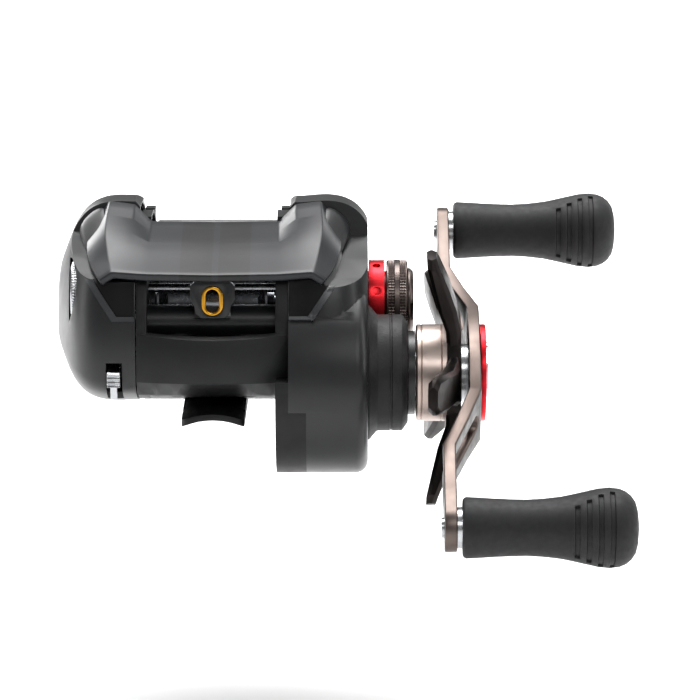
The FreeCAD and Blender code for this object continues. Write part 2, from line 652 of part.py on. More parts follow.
def spool_shaft():
    """Steel shaft of the spool, drilled for the cross pin."""
    shaft = cyl(SHAFT_RADIUS, SHAFT_LEFT, SHAFT_RIGHT, 0, SPOOL_Z)
    return shaft.cut(cross_pin())


def cross_pin():
    """Pin through the spool shaft that the pinion's slot drives."""
    return Part.makeCylinder(0.5, 4.4, Vec(PINION_X + 0.8, 0, SPOOL_Z - 2.2))


def brake_rotor():
    """Thin cup on the spool that turns between the brake magnets."""
    hub = SPOOL_LEFT - 0.7
    return turned([
        (hub, SHAFT_RADIUS), (hub, ROTOR_RADIUS), (hub - 4.6, ROTOR_RADIUS), (hub - 4.6, ROTOR_RADIUS - 0.5),
        (hub - 0.8, ROTOR_RADIUS - 0.5), (hub - 0.8, SHAFT_RADIUS),
    ], 0, SPOOL_Z)


def spool_bearings():
    """Left and right ball bearings of the spool shaft."""
    inner = SHAFT_RADIUS + RUN_GAP
    return (ball_bearing(-22.4, -19.6, 4.0, inner, 0, SPOOL_Z),
            ball_bearing(BOSS_END - 5.2, BOSS_END - 2.4, 4.0, inner, 0, SPOOL_Z))


# ---------------------------------------------------------------- pinion and clutch release
def pinion():
    """Pinion with a slotted journal, a groove for the yoke and long teeth."""
    groove = YOKE_X - 0.1
    teeth = YOKE_X + YOKE_THICK + 0.1
    phase = GEAR_ANGLE + 180.0 + 180.0 / PINION_TEETH
    body = fuse([
        cyl(2.6, PINION_X, groove, 0, SPOOL_Z),
        cyl(1.9, groove, teeth, 0, SPOOL_Z),
        gear(GEAR_MODULE, PINION_TEETH, teeth, DRIVE_GEAR_X + 6.0, 0, SPOOL_Z, phase),
        cyl(1.9, DRIVE_GEAR_X + 6.0, DRIVE_GEAR_X + 8.4, 0, SPOOL_Z),
    ])
    slot = box(PINION_X - 1, PINION_X + 1.6, -0.6, 0.6, SPOOL_Z - 4, SPOOL_Z + 4)
    return body.cut(cyl(SHAFT_RADIUS + 0.08, 0, 40, 0, SPOOL_Z)).cut(slot)


def pinion_bearing():
    """Ball bearing of the pinion in the frame's right wall."""
    return ball_bearing(RIGHT_INNER + 0.25, WALL_RIGHT - 0.05, PINION_BEARING, 2.65, 0, SPOOL_Z)


def clutch_yoke():
    """Fork that sits in the pinion's groove and slides on two posts."""
    end = YOKE_X + YOKE_THICK
    reach = YOKE_REACH + 1.5
    bar = box(YOKE_X, end, -reach, reach, SPOOL_Z - 1.9, SPOOL_Z + 2.2)
    collar = cyl(3.9, YOKE_X, end, 0, SPOOL_Z).cut(box(0, 40, -10, 10, SPOOL_Z - 10, SPOOL_Z - 1.9))
    body = bar.fuse(collar)
    body = body.cut(cyl(1.98, 0, 40, 0, SPOOL_Z)).cut(box(0, 40, -1.98, 1.98, SPOOL_Z - 10, SPOOL_Z))
    for side in (-1, 1):
        body = body.fuse(cyl(1.6, YOKE_X, end + 1.2, side * YOKE_REACH, SPOOL_Z))
        body = body.cut(cyl(YOKE_POST_RADIUS + 0.06, 0, 40, side * YOKE_REACH, SPOOL_Z))
    return turn_x(body, -GEAR_ANGLE, 0, SPOOL_Z)


def yoke_posts():
    """Two posts in the frame that guide the clutch yoke."""
    return compound([cyl(YOKE_POST_RADIUS, RIGHT_INNER + 0.8, 24.4, y, z) for y, z in yoke_posts_at()])


def yoke_springs():
    """Springs that push the yoke home, wound round the outer ends of the posts."""
    coils = []
    for y, z in yoke_posts_at():
        coils.append(ring(YOKE_POST_RADIUS + 0.5, YOKE_POST_RADIUS, 20.2, 24.4, y, z))
    return compound(coils)


def cam_ramp(angle):
    """Wedge on the clutch cam that lifts the yoke; angle from +Z towards +Y."""
    low = CAM_X + 0.5
    points = [(low, 0.0), (YOKE_X + 0.15, 0.0), (YOKE_X + 1.65, -1.9), (YOKE_X + 1.65, -3.6), (low, -3.6)]
    wire = Part.makePolygon([Vec(x, y, SPOOL_Z + 4.95) for x, y in points + points[:1]])
    wedge = Part.Face(wire).extrude(Vec(0, 0, 1.65))
    return turn_x(wedge, -angle, 0, SPOOL_Z)


def clutch_cam():
    """Ring round the pinion bearing with two ramps and a slotted arm for the thumb bar's peg."""
    end = CAM_X + 0.6
    reach = CAM_PEG_REACH
    arm = box(CAM_X, end, -1.9, 1.9, SPOOL_Z + 5.0, SPOOL_Z + reach + 2.8)
    slot = box(0, 40, -0.95, 0.95, SPOOL_Z + reach - 1.2, SPOOL_Z + reach + 1.8)
    body = cyl(7.0, CAM_X, end, 0, SPOOL_Z).fuse(turn_x(arm.cut(slot), -CAM_PEG_ANGLE, 0, SPOOL_Z))
    body = body.cut(cyl(PINION_BEARING + 0.55, 0, 40, 0, SPOOL_Z))
    lead = GEAR_ANGLE + 90 - 26.3
    return fuse([body, cam_ramp(lead), cam_ramp(lead + 180)])


def thumb_bar():
    """Clutch release bar across the back of the spool, with two tongues and a peg for the cam."""
    left, right = LEFT_INNER + 0.25, RIGHT_INNER - 0.25
    bar = prism_x([(15.6, 29.6), (16.2, 31.6), (18.0, 33.0), (21.0, 32.8), (25.0, 29.6), (25.6, 28.2),
                   (24.4, 27.6), (20.6, 29.6), (18.0, 30.0)], left, right)
    half = THUMB_TONGUE / 2.0
    tongues = []
    spans = ((left - 1.9, left + 1.6, half, 5.0), (right - 1.6, right + 2.5, half, 5.0),
             (right + 2.4, YOKE_X + 0.6, -0.2, -0.1))
    for x0, x1, rear, rise in spans:
        tongue = box(x0, x1, THUMB_Y - half, THUMB_Y + rear, THUMB_Z - half, THUMB_Z + rise)
        tongues.append(turn_x(tongue, THUMB_LEAN, THUMB_Y, THUMB_Z))
    angle = math.radians(CAM_PEG_ANGLE)
    peg_y, peg_z = CAM_PEG_REACH * math.sin(angle), SPOOL_Z + CAM_PEG_REACH * math.cos(angle)
    link = prism_x([(peg_y - 0.9, peg_z - 0.9), (peg_y - 0.9, peg_z + 1.2), (THUMB_Y - 1.0, THUMB_Z + 0.4),
                    (THUMB_Y + 0.4, THUMB_Z - 1.2), (peg_y + 0.9, peg_z - 0.9)], YOKE_X, YOKE_X + 0.6)
    peg = cyl(0.7, CAM_X, YOKE_X + 0.3, peg_y, peg_z)
    return fuse([bar, link, peg] + tongues)


# ---------------------------------------------------------------- level wind
def guard_tube():
    """Tube round the worm, slotted underneath for the pawl."""
    tube = ring(WORM_TUBE, WORM_RADIUS + 0.2, -13.7, 13.7, WORM_Y, WORM_Z)
    return tube.cut(box(-11.4, 11.4, WORM_Y - 1.0, WORM_Y + 1.0, WORM_Z - 5, WORM_Z))


def guide_bar():
    """Upper bar that keeps the line guide upright."""
    return cyl(BAR_RADIUS, -13.9, 13.9, BAR_Y, BAR_Z)


def worm():
    """Worm shaft with crossed grooves."""
    body = fuse([
        cyl(SHAFT_RADIUS + 0.14, -14.5, 17.4, WORM_Y, WORM_Z),
        cyl(WORM_RADIUS, -12.4, 12.4, WORM_Y, WORM_Z),
    ])
    for i in range(WORM_GROOVES):
        x = -9.6 + 19.2 * i / (WORM_GROOVES - 1)
        for lean in (-24, 24):
            groove = Part.makeTorus(WORM_RADIUS + 0.25, 0.5, Vec(0, 0, 0), Vec(1, 0, 0))
            groove.rotate(Vec(0, 0, 0), Vec(0, 0, 1), lean)
            body = body.cut(at(groove, x, WORM_Y, WORM_Z))
    return body


def worm_gear():
    """Gear on the worm shaft's end."""
    phase = -LEVEL_ANGLE + 180.0 + 180.0 / LEVEL_WORM_TEETH
    body = gear(LEVEL_MODULE, LEVEL_WORM_TEETH, 15.2, 16.8, WORM_Y, WORM_Z, phase)
    return body.cut(cyl(SHAFT_RADIUS + 0.14, 0, 40, WORM_Y, WORM_Z))


def line_guide():
    """Sliding carriage on the guard tube and bar, with an upright plate for the guide ring."""
    half = GUIDE_HALF
    collar = cyl(WORM_TUBE + 1.5, -half, half, WORM_Y, WORM_Z)
    collar = collar.cut(box(-10, 10, -40, WORM_Y - 0.6, 0, 19.8))
    plate = prism_y([(-2.2, 19.8), (2.2, 19.8), (3.2, 20.6), (half, 22.0), (4.3, 23.4), (4.3, 26.0), (3.4, 26.8),
                     (-3.4, 26.8), (-4.3, 26.0), (-4.3, 23.4), (-half, 22.0), (-3.2, 20.6)], -28.4, -26.6)
    cheek = [(-26.7, 20.2), (-26.7, 26.6), (-20.0, 26.4), (-17.6, 25.6), (-17.4, 23.6), (-19.6, 20.6),
             (-21.5, 18.6)]
    cheeks = [prism_x(cheek, -half, -2.2), prism_x(cheek, 2.2, half)]
    body = fuse([collar, plate] + cheeks)
    body = body.cut(cyl(WORM_TUBE + 0.07, -20, 20, WORM_Y, WORM_Z))
    body = body.cut(cyl(BAR_RADIUS + 0.07, -20, 20, BAR_Y, BAR_Z))
    body = body.cut(oval_prism(2.125, 2.95, -28.5, -26.5)).cut(box(-1.6, 1.6, -27.0, -10.0, 21.8, 30.0))
    return body.cut(pawl())


def oval_prism(half_x, half_z, y0, y1):
    """Upright stadium-shaped bar along Y about the guide ring's centre."""
    straight = half_z - half_x
    core = box(-half_x, half_x, y0, y1, GUIDE_Z - straight, GUIDE_Z + straight)
    ends = [Part.makeCylinder(half_x, y1 - y0, Vec(0, y0, GUIDE_Z + s * straight), Vec(0, 1, 0)) for s in (-1, 1)]
    return fuse([core] + ends)


def guide_ring():
    """Hard oval ring that the line runs through."""
    return oval_prism(2.125, 2.95, -28.8, -26.6).cut(oval_prism(1.25, 2.2, -30, -20))


def pawl():
    """Pawl under the carriage, reaching up through the guard tube's slot."""
    foot_z = WORM_Z - WORM_TUBE - 1.5
    return Part.makeCylinder(0.8, 2.3, Vec(0, WORM_Y, foot_z - 0.1))


# ---------------------------------------------------------------- drive shaft stack
def drive_shaft():
    """Shaft that carries the handle, drag and gears, threaded at its outer end."""
    radius = DRIVE_SHAFT_RADIUS
    plate = HANDLE_HUB_X + HANDLE_THICK
    return fuse([
        cyl(2.0, RIGHT_INNER + 0.55, 15.1, DRIVE_Y, DRIVE_Z),
        cyl(radius, 15.1, plate, DRIVE_Y, DRIVE_Z),
        cyl(radius - 0.7, plate, plate + 1.6, DRIVE_Y, DRIVE_Z),
    ])


def drive_bearing():
    """Ball bearing of the drive shaft in the frame's right wall."""
    return ball_bearing(RIGHT_INNER + 0.5, WALL_RIGHT - 0.05, DRIVE_BEARING, 2.05, DRIVE_Y, DRIVE_Z)


def level_driver():
    """Gear on the drive shaft that turns the worm."""
    body = gear(LEVEL_MODULE, LEVEL_DRIVER_TEETH, 15.2, 16.8, DRIVE_Y, DRIVE_Z, -LEVEL_ANGLE)
    return body.cut(cyl(DRIVE_SHAFT_RADIUS, 0, 40, DRIVE_Y, DRIVE_Z))


def ratchet():
    """Toothed anti-reverse plate."""
    teeth = 12
    points = []
    for i in range(teeth):
        start = 2 * math.pi * i / teeth
        points += [(8.0, start), (6.8, start + 0.08)]
    outline = [(DRIVE_Y + r * math.sin(a), DRIVE_Z + r * math.cos(a)) for r, a in points]
    return prism_x(outline, 17.0, 18.0).cut(cyl(DRIVE_SHAFT_RADIUS, 0, 40, DRIVE_Y, DRIVE_Z))


def drive_gear():
    """Main gear, dished on its outer side for the drag washers."""
    end = DRIVE_GEAR_X + DRIVE_GEAR_FACE
    body = gear(GEAR_MODULE, DRIVE_TEETH, DRIVE_GEAR_X, end, DRIVE_Y, DRIVE_Z, GEAR_ANGLE)
    body = body.cut(cyl(11.4, DRIVE_GEAR_X + 2.0, 60, DRIVE_Y, DRIVE_Z))
    return body.cut(cyl(DRIVE_SHAFT_RADIUS, 0, 60, DRIVE_Y, DRIVE_Z))


def drag_washers():
    """Three drag washers in the main gear's dish."""
    start = DRIVE_GEAR_X + 2.0
    return compound([ring(11.0, DRIVE_SHAFT_RADIUS, start + 0.6 * i, start + 0.6 * (i + 1), DRIVE_Y, DRIVE_Z)
                     for i in range(3)])


def pressure_plate():
    """Plate that presses the drag washers together."""
    start = DRIVE_GEAR_X + 3.8
    return fuse([ring(11.0, DRIVE_SHAFT_RADIUS, start, start + 1.0, DRIVE_Y, DRIVE_Z),
                 ring(5.4, DRIVE_SHAFT_RADIUS, start + 1.0, start + 1.8, DRIVE_Y, DRIVE_Z)])


def clutch_sleeve():
    """Sleeve that runs in the one-way clutch and passes the star's load to the pressure plate."""
    return ring(SLEEVE_RADIUS, DRIVE_SHAFT_RADIUS, DRIVE_GEAR_X + 5.6, HUB_START - 0.15, DRIVE_Y, DRIVE_Z)


def neck_ring():
    """Dust ring at the housing's mouth."""
    return ring(8.2, SLEEVE_RADIUS, HOUSING_END + 0.1, HUB_START - 0.15, DRIVE_Y, DRIVE_Z)


def drag_springs():
    """Two dished spring washers under the drag nut."""
    start = HUB_START - 0.15
    return compound([ring(4.6, DRIVE_SHAFT_RADIUS, start + 0.85 * i, start + 0.85 * (i + 1), DRIVE_Y, DRIVE_Z)
                     for i in range(2)])


def hexagon(radius, x0, x1, y, z):
    """Hexagonal bar along X by its corner radius."""
    outline = [(y + radius * math.sin(math.radians(60 * i)), z + radius * math.cos(math.radians(60 * i)))
               for i in range(6)]
    return prism_x(outline, x0, x1)


def drag_nut():
    """Hexagonal nut that the star turns on the drive shaft's thread."""
    start = HUB_START + 1.75
    nut = hexagon(5.4, start, start + 2.9, DRIVE_Y, DRIVE_Z)
    return nut.cut(cyl(DRIVE_SHAFT_RADIUS + RUN_GAP, 0, 60, DRIVE_Y, DRIVE_Z))


def star_hub():
    """Cylindrical skirt of the drag star around the drag nut."""
    tube = cyl(HUB_RADIUS, HUB_START, STAR_START, DRIVE_Y, DRIVE_Z)
    return tube.cut(hexagon(5.5, 0, 60, DRIVE_Y, DRIVE_Z))


def star_arm():
    """One arm of the drag star, pointing along +Z: a paddle that leans away from the handle."""
    stations = [(6.5, 45.35, 48.1, 5.0), (11.0, 45.1, 48.1, 4.4), (15.0, 43.6, 47.2, 3.4), (20.0, 42.4, 45.6, 3.7),
                (24.4, 41.4, 43.8, 3.5), (STAR_TIP_RADIUS, 41.3, 43.2, 2.2)]
    wires = []
    for reach, x0, x1, half in stations:
        z = DRIVE_Z + reach
        bevel = 0.8
        wires.append(polygon_wire([
            Vec(x0, DRIVE_Y - half + bevel, z), Vec(x0, DRIVE_Y + half - bevel, z),
            Vec(x0 + bevel, DRIVE_Y + half, z), Vec(x1 - bevel, DRIVE_Y + half, z),
            Vec(x1, DRIVE_Y + half - bevel, z), Vec(x1, DRIVE_Y - half + bevel, z),
            Vec(x1 - bevel, DRIVE_Y - half, z), Vec(x0 + bevel, DRIVE_Y - half, z),
        ]))
    return Part.makeLoft(wires, True, True)


def drag_star():
    """Five-armed star on its hub plate."""
    plate = cyl(HUB_RADIUS + 0.3, STAR_START, 48.1, DRIVE_Y, DRIVE_Z)
    arm = star_arm()
    lead = 92.0
    arms = [turn_x(arm, lead + 360.0 * i / STAR_ARMS, DRIVE_Y, DRIVE_Z) for i in range(STAR_ARMS)]
    body = plate.multiFuse(arms)
    body = body.cut(box(40, STAR_START, -30, 0, -10, 25).common(cyl(HUB_RADIUS + 0.1, 40, 60, DRIVE_Y, DRIVE_Z)))
    body = body.cut(hexagon(5.5, 0, 46.0, DRIVE_Y, DRIVE_Z))
    return body.cut(cyl(DRIVE_SHAFT_RADIUS + RUN_GAP, 0, 60, DRIVE_Y, DRIVE_Z))


# ---------------------------------------------------------------- handle and knobs
def on_handle(shape):
    """Turn a shape modelled along -Z of the drive axis into the handle's rest angle."""
    return turn_x(shape, -HANDLE_ANGLE, DRIVE_Y, DRIVE_Z)


def handle():
    """Double-armed handle plate, offset towards the body at both ends, with a slot in each arm."""
    inner, outer = 12.3, 26.7
    end = HANDLE_REACH + HANDLE_END_RADIUS
    low, high = HANDLE_HUB_X, HANDLE_HUB_X + HANDLE_THICK
    near, far = low - HANDLE_OFFSET, high - HANDLE_OFFSET
    side = [(near, -end), (near, -outer), (low, -inner), (low, inner), (near, outer), (near, end),
            (far, end), (far, outer + 0.3), (high, inner + 0.3), (high, -inner - 0.3), (far, -outer - 0.3), (far, -end)]
    slab = prism_y([(x, DRIVE_Z + z) for x, z in side], DRIVE_Y - 12, DRIVE_Y + 12)
    half = [(9.0, 0.0), (8.6, 6.0), (6.6, 13.0), (5.4, 20.0), (4.9, 30.0), (HANDLE_END_RADIUS, HANDLE_REACH)]
    right = [(DRIVE_Y + y, DRIVE_Z + z) for y, z in half]
    left = [(DRIVE_Y - y, DRIVE_Z + z) for y, z in reversed(half)]
    lower_left = [(DRIVE_Y - y, DRIVE_Z - z) for y, z in half[1:]]
    lower_right = [(DRIVE_Y + y, DRIVE_Z - z) for y, z in reversed(half[1:])]
    outline = prism_x(right + left + lower_left + lower_right, 40, 60)
    caps = [cyl(HANDLE_END_RADIUS, 40, 60, DRIVE_Y, DRIVE_Z + s * HANDLE_REACH) for s in (-1, 1)]
    body = slab.common(fuse([outline] + caps))
    for s in (-1, 1):
        a, b = sorted((s * 16.0, s * 37.0))
        slot = fuse([box(40, 60, DRIVE_Y - 2.0, DRIVE_Y + 2.0, DRIVE_Z + a, DRIVE_Z + b),
                     cyl(2.0, 40, 60, DRIVE_Y, DRIVE_Z + a), cyl(2.0, 40, 60, DRIVE_Y, DRIVE_Z + b)])
        body = body.cut(slot).cut(cyl(SPINDLE_RADIUS, 40, 60, DRIVE_Y, DRIVE_Z + s * HANDLE_REACH))
    return on_handle(body.cut(cyl(DRIVE_SHAFT_RADIUS, 40, 60, DRIVE_Y, DRIVE_Z)))


def handle_washer():
    """Washer between the star and the handle."""
    return ring(5.6, DRIVE_SHAFT_RADIUS, 48.2, HANDLE_HUB_X, DRIVE_Y, DRIVE_Z)


def handle_nut():
    """Hexagonal nut on the drive shaft's end, inside the retainer plate."""
    start = HANDLE_HUB_X + HANDLE_THICK
    nut = hexagon(5.0, start, start + 1.6, DRIVE_Y, DRIVE_Z)
    return on_handle(nut.cut(cyl(DRIVE_SHAFT_RADIUS - 0.7, 0, 60, DRIVE_Y, DRIVE_Z)))


def retainer_plate():
    """Anodised plate that keeps the handle nut from turning."""
    start = HANDLE_HUB_X + HANDLE_THICK
    disc = cyl(9.5, start, start + 1.1, DRIVE_Y, DRIVE_Z)
    return on_handle(disc.cut(hexagon(5.0, 0, 60, DRIVE_Y, DRIVE_Z)).cut(retainer_hole()))


def retainer_hole():
    """Hole for the retainer screw."""
    return cyl(0.9, 40, 60, DRIVE_Y, DRIVE_Z + 7.0)


def retainer_screw():
    """Small screw that holds the retainer plate."""
    start = HANDLE_HUB_X + HANDLE_THICK + 1.1
    return on_handle(screw(start, 1.1, 0.9, 1.5, 0.7, DRIVE_Y, DRIVE_Z + 7.0))


def knob_spindles():
    """Two spindles riveted through the handle's ends."""
    start = HANDLE_HUB_X - HANDLE_OFFSET
    end = HANDLE_HUB_X - HANDLE_OFFSET + HANDLE_THICK
    one = fuse([cyl(SPINDLE_RADIUS, start - 0.6, end + KNOB_LENGTH - 4.0, DRIVE_Y, DRIVE_Z + HANDLE_REACH),
                cyl(2.7, end + KNOB_LENGTH - 6.0, end + KNOB_LENGTH - 4.6, DRIVE_Y, DRIVE_Z + HANDLE_REACH)])
    return compound([on_handle(one), on_handle(turn_x(one, 180, DRIVE_Y, DRIVE_Z))])


def knob_washers():
    """Thin collars between the handle's ends and the knobs."""
    end = HANDLE_HUB_X - HANDLE_OFFSET + HANDLE_THICK
    one = ring(3.9, SPINDLE_RADIUS, end, end + KNOB_GAP - 0.1, DRIVE_Y, DRIVE_Z + HANDLE_REACH)
    return compound([on_handle(one), on_handle(turn_x(one, 180, DRIVE_Y, DRIVE_Z))])


def knob_start():
    """Distance along X where a knob begins."""
    return HANDLE_HUB_X - HANDLE_OFFSET + HANDLE_THICK + KNOB_GAP


def knob():
    """Flared round-ended knob with four finger grooves on two sides, hollow for its bearings."""
    start = knob_start()
    profile = [(0.0, KNOB_BORE), (0.0, 5.2), (0.5, 5.8), (6.0, 5.5), (12.0, 5.3), (18.4, 5.85), (22.0, 6.6),
               (25.5, 7.45), (27.6, 7.65), (29.4, 7.3), (31.2, 6.0), (32.4, 3.9), (KNOB_LENGTH, 0.0)]
    y, z = DRIVE_Y, DRIVE_Z + HANDLE_REACH
    scale = KNOB_LENGTH / profile[-1][0]
    bore_end = (KNOB_LENGTH - 3.0)
    outline = [(start + x * scale, r) for x, r in profile] + [(start + bore_end, 0.0), (start + bore_end, KNOB_BORE)]
    body = turned(outline, y, z)
    for i in range(4):
        x = start + 21.2 + 2.2 * i
        radius = 6.45 + 0.42 * i
        groove = ring(radius + 3.0, radius - 0.75, x - 0.65, x + 0.65, y, z)
        reach = 5.2 + 0.7 * i
        for side in (-1, 1):
            lobe = groove.common(box(x - 1, x + 1, min(side * 1.5, side * 12) + y, max(side * 1.5, side * 12) + y,
                                     z - reach, z + reach))
            body = body.cut(lobe)
    return body


def knob_bearings():
    """Two ball bearings inside a knob."""
    start = knob_start()
    y, z = DRIVE_Y, DRIVE_Z + HANDLE_REACH
    inner = SPINDLE_RADIUS + RUN_GAP
    return compound([ball_bearing(start + 0.6, start + 3.2, KNOB_BORE, inner, y, z),
                     ball_bearing(start + 22.0, start + 24.6, KNOB_BORE, inner, y, z)])


# ---------------------------------------------------------------- spool tension knob
def tension_knob():
    """Knurled cap on the gear cover's boss, with smooth ribs between knurled panels."""
    end = TENSION_START + TENSION_WIDTH
    body = cyl(TENSION_RADIUS, TENSION_START, end, 0, SPOOL_Z)
    notch = box(TENSION_START - 1, end + 1, -0.22, 0.22, SPOOL_Z + TENSION_RADIUS - 0.3, SPOOL_Z + TENSION_RADIUS + 1)
    panels = 8
    per_panel = 5
    notches = []
    for panel in range(panels):
        for i in range(per_panel):
            notches.append(turn_x(notch, 360.0 * panel / panels + 6.0 * (i - 2), 0, SPOOL_Z))
    body = body.cut(compound(notches))
    body = body.cut(cyl(BOSS_RADIUS + 0.08, 0, BOSS_END + 0.7, 0, SPOOL_Z))
    return body.cut(cyl(2.6, 0, end - 0.4, 0, SPOOL_Z))


def tension_cap():
    """Chamfered disc on the tension knob's end."""
    start = TENSION_START + TENSION_WIDTH
    return turned([(start, 0.0), (start, 6.6), (start + 0.5, 6.6), (start + 1.15, 5.9), (start + 1.15, 0.0)],
                  0, SPOOL_Z)


def tension_pad():
    """Brass pad inside the tension knob that bears on the spool shaft's end."""
    return cyl(2.5, SHAFT_RIGHT + 0.1, TENSION_START + TENSION_WIDTH - 0.4, 0, SPOOL_Z)


# ---------------------------------------------------------------- parts
left_bearing, right_bearing = spool_bearings()
knob_blank = knob()
knob_races = knob_bearings()
parts = {
    "frame": frame(),
    "hood": hood(),
    "gear_cover": gear_cover(),
    "clutch_housing": clutch_housing(),
    "red_ring": red_ring(),
    "cover_screws": cover_screws(),
    "guard_tube": guard_tube(),
    "guide_bar": guide_bar(),
    "yoke_posts": yoke_posts(),
    "yoke_springs": yoke_springs(),
    "pinion_bearing": pinion_bearing(),
    "drive_bearing": drive_bearing(),
    "spool_bearing_right": right_bearing,
    "one_way_clutch": one_way_clutch(),
    "line_guide": line_guide(),
    "guide_ring": guide_ring(),
    "pawl": pawl(),
    "worm": worm(),
    "worm_gear": worm_gear(),
    "spool": spool(),
    "spool_shaft": spool_shaft(),
    "cross_pin": cross_pin(),
    "brake_rotor": brake_rotor(),
    "pinion": pinion(),
    "clutch_yoke": clutch_yoke(),
    "clutch_cam": clutch_cam(),
    "thumb_bar": thumb_bar(),
    "palm_cover": palm_cover(),
    "brake_plate": brake_plate(),
    "spool_bearing_left": left_bearing,
    "brake_dial": brake_dial(),
    "magnet_ring": magnet_ring(),
    "magnets": magnets(),
    "lock_lever": lock_lever(),
    "tension_knob": tension_knob(),
    "tension_cap": tension_cap(),
    "tension_pad": tension_pad(),
    "drive_shaft": drive_shaft(),
    "level_driver": level_driver(),
    "ratchet": ratchet(),
    "drive_gear": drive_gear(),
    "drag_washers": drag_washers(),
    "pressure_plate": pressure_plate(),
    "clutch_sleeve": clutch_sleeve(),
    "neck_ring": neck_ring(),
    "drag_springs": drag_springs(),
    "drag_nut": drag_nut(),
    "drag_star": drag_star(),
    "star_hub": star_hub(),
    "handle_washer": handle_washer(),
    "handle": handle(),
    "handle_nut": handle_nut(),
    "retainer_plate": retainer_plate(),
    "retainer_screw": retainer_screw(),
    "knob_spindles": knob_spindles(),
    "knob_washers": knob_washers(),
    "knob_a": on_handle(turn_x(knob_blank, 180, DRIVE_Y, DRIVE_Z)),
    "knob_b": on_handle(knob_blank),
    "knob_bearings_a": on_handle(turn_x(knob_races, 180, DRIVE_Y, DRIVE_Z)),
    "knob_bearings_b": on_handle(knob_races),
}

os.makedirs("parts", exist_ok=True)
for name, shape in parts.items():
    shape.exportStep(os.path.join("parts", name + ".step"))
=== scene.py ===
"""Looks of a low-profile baitcasting reel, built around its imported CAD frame.

Each sub-assembly is a class: its fields are the sizes of what it adds, and its methods model those
pieces and give every piece its finish. Lengths are millimetres in the fields and metres in Blender.
"""

import json
import logging
import math
from dataclasses import dataclass
from enum import Enum
from typing import Callable

import bmesh
import bpy
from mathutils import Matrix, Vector

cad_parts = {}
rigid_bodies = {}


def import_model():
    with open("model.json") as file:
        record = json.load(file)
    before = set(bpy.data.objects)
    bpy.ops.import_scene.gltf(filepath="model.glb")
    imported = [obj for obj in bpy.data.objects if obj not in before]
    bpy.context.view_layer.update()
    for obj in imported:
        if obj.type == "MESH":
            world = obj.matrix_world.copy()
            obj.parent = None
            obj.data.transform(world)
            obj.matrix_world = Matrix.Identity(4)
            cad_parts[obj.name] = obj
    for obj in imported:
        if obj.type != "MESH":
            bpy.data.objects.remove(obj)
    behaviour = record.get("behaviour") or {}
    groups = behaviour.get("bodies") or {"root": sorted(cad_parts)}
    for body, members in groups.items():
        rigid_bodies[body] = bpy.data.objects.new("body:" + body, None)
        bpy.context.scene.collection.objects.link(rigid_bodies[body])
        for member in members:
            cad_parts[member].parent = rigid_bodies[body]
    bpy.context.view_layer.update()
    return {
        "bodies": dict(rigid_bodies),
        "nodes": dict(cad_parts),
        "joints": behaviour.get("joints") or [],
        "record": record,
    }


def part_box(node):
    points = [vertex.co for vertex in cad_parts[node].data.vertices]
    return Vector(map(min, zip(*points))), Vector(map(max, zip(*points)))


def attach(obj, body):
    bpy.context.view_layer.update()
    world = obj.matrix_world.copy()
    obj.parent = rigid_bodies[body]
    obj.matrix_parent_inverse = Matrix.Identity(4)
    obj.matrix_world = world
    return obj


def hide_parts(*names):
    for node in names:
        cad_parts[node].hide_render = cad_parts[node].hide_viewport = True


MM = 0.001
# Edges sharper than this stay crisp, in degrees
SMOOTH_ANGLE = 32.0
# Points closer than this are one point
WELD = 0.003
# The same for the CAD nodes' loose triangles, and how flat neighbours must be to join, in degrees
CAD_WELD = 0.002
CAD_FLAT = 0.4
# Radius that stands for a pole, since a ring can't be drawn back out of nothing
POLE = 0.01
LOG = logging.getLogger("reel")

Point = tuple[float, float, float]
Profile = list[tuple[float, float]]


# ---------------------------------------------------------------- finishes
class Pattern(Enum):
    """How a finish's fine relief is laid out."""

    GRAIN = "even grain all over"
    TURNED = "fine rings about the X axis, from a lathe tool"
    BRUSHED = "long scratches along the X axis"
    WOVEN = "crossed fibres"
    PEBBLE = "coarse moulded pebbles"


def linear(hex_colour: str) -> tuple[float, float, float, float]:
    """Turns an sRGB colour into the linear one that shaders take.

    Args:
        hex_colour: six hex digits, such as "2b2d30".

    Returns:
        Red, green, blue and alpha, each from 0 to 1.
    """
    channels = [int(hex_colour[i:i + 2], 16) / 255.0 for i in (0, 2, 4)]
    low, slope, power = 0.04045, 12.92, 2.4
    bright = [c / slope if c <= low else ((c + 0.055) / 1.055) ** power for c in channels]
    return (bright[0], bright[1], bright[2], 1.0)


def add_node(tree: bpy.types.NodeTree, kind: str, settings: dict | None = None,
             inputs: dict | None = None) -> bpy.types.Node:
    """Adds one shader node with its settings, socket values and links.

    Args:
        tree: node tree that gets the node.
        kind: Blender's identifier of the node type.
        settings: attributes of the node, by name.
        inputs: socket values or sockets to link from, by socket name or index.

    Returns:
        The new node.
    """
    node = tree.nodes.new(kind)
    for key, value in (settings or {}).items():
        setattr(node, key, value)
    for key, value in (inputs or {}).items():
        if isinstance(value, bpy.types.NodeSocket):
            tree.links.new(value, node.inputs[key])
        else:
            node.inputs[key].default_value = value
    return node


